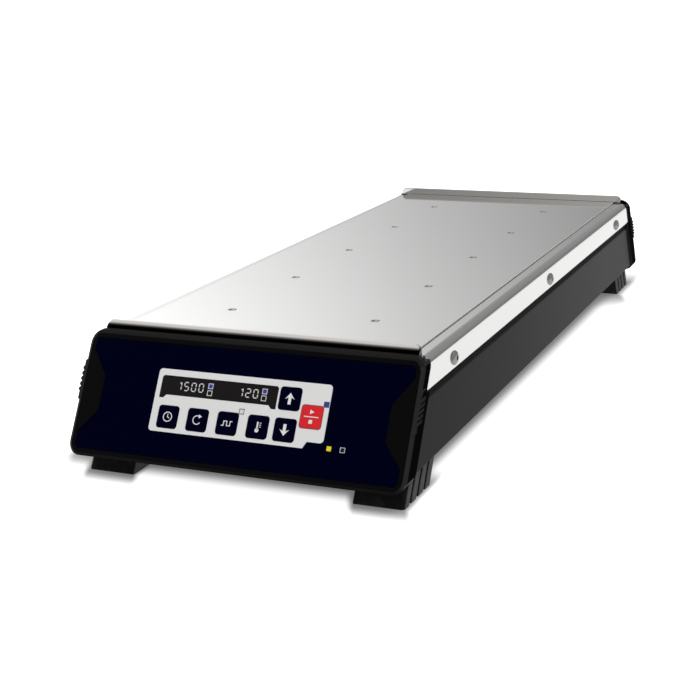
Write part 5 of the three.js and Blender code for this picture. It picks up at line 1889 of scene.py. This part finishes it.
@dataclass
class RearFittings:
    """The rear panel with its inlet, switch and fuse holder."""

    edge: float = 0.25
    panel_edge: float = 0.1
    pin_half: Point = (1.0, 2.0)
    pin_pitch: float = 7.0
    pin_rise: float = 2.0
    pin_root: float = 213.4
    pivot: tuple[float, float, float] = (31.0, 232.2, 44.2)
    tilt: float = 8.0
    roof_angle: float = 8.46
    roof_stand: float = 2.4
    mark_place: float = 3.9
    mark_size: float = 1.5
    mark_line: float = 0.5
    mark_proud: float = 0.04

    def build(self) -> None:
        """Makes the fittings."""
        refined("rear_panel", PANEL_PAINT, self.panel_edge)
        bodies = {
            "switch_body": CHASSIS, "fuse_holder": CHASSIS, "power_rocker": "rocker", "fuse_cap": "fuse_cap",
        }
        for node, body in bodies.items():
            refined(node, FITTING_PLASTIC, self.edge, 3, body)
        inlet = Solid.from_node("mains_inlet").softened(self.edge, 3).picked(self.on_pin)
        inlet.piece("mains_inlet_rounded", FITTING_PLASTIC, stands_for=["mains_inlet"], second=CONTACT_METAL)
        size, line, proud = self.mark_size, self.mark_line, self.mark_proud
        bar = Solid.band([(0.0, -size), (0.0, size)], line, 0.0, proud)
        ring = Solid.band(circle((0.0, 0.0), size, 28), line, 0.0, proud, True)
        marks = self.on_rocker(bar, 1).joined(self.on_rocker(ring, -1))
        marks.piece("rocker_marks", PALE_INK, "rocker")

    def on_pin(self, middle: Vector, normal: Vector) -> bool:
        """Whether a face belongs to one of the inlet's three pins.

        Args:
            middle: The face's middle.
            normal: Its normal, of which any will do.

        Returns:
            True for a face of a pin.
        """
        low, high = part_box("mains_inlet")
        centre = (low + high) / 2 / MM
        places = [(-self.pin_pitch, -self.pin_rise), (0.0, self.pin_rise), (self.pin_pitch, -self.pin_rise)]
        slack = self.edge / 4
        near = any(
            abs(middle.x - centre.x - x) < self.pin_half[0] + slack
            and abs(middle.z - centre.z - z) < self.pin_half[1] + slack
            for x, z in places
        )
        return near and middle.y > self.pin_root

    def on_rocker(self, mark: Solid, half: int) -> Solid:
        """Lays a mark on the rocker.

        Args:
            mark: The mark, flat about its own middle.
            half: One for the rocker's upper half, minus one for its lower half.

        Returns:
            The same mark in its place.
        """
        facing = Matrix(((-1, 0, 0, 0), (0, 0, 1, 0), (0, 1, 0, 0), (0, 0, 0, 1)))
        roof = Matrix.Rotation(math.radians(-half * self.roof_angle), 4, "X")
        ridge = Matrix.Translation((0.0, self.roof_stand, 0.0))
        stand = Matrix.Translation(self.pivot) @ Matrix.Rotation(math.radians(self.tilt), 4, "X")
        mark.shifted(0.0, half * self.mark_place, 0.0)
        return mark.placed(stand @ ridge @ roof @ facing)


@dataclass
class Internals:
    """What lies inside, which keeps its CAD shape and gets its own finish."""

    stator_level: float = 42.6
    yoke_level: float = 54.7
    supply_level: float = 23.9
    heater_pitch: float = 9.0
    rotors: int = 10

    def build(self) -> None:
        """Dresses the inner nodes."""
        finishes: dict[str, Finish] = {
            "heat_spreader": ALUMINIUM,
            "heater_mat": Fibrous(
                "heater_silicone", "heater_silicone", tint="A6512F", shade="8E4227", pitch=self.heater_pitch,
            ),
            "insulation_board": Fibrous("insulation", "insulation"),
            "temperature_probe": PROBE_STEEL,
            "thermal_cutout": FITTING_PLASTIC,
            "drive_deck": DECK_STEEL,
            "stator_board": Board("stator", "board_green", parts="A8582C", level=self.stator_level),
            "power_supply_board": Board("supply", "board_green", parts="C9A62F", level=self.supply_level),
            "control_board": Board("control", "board_green"),
        }
        rotor = TwoMetals("rotor", "rotor_metal", self.yoke_level)
        for number in range(self.rotors):
            finishes[f"magnet_rotor_{number + 1:02d}"] = rotor
        for node, finish in finishes.items():
            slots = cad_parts[node].data.materials
            slots.clear()
            slots.append(material_of(finish))
            LOG.info("node %s in %s", node, finish.name)


def main() -> None:
    """Builds the camera, the studio and every sub-assembly."""
    logging.basicConfig(level=logging.INFO, format="%(message)s")
    PhotoCamera().build()
    Studio().build()
    for part in (
        WorkSurface(), Cover(), Housing(), EndCaps(), FrontPanel(),
        Feet(), Fasteners(), RearFittings(), Internals(),
    ):
        part.build()
        LOG.info("%s done", type(part).__name__)


if __name__ == "__main__":
    main()
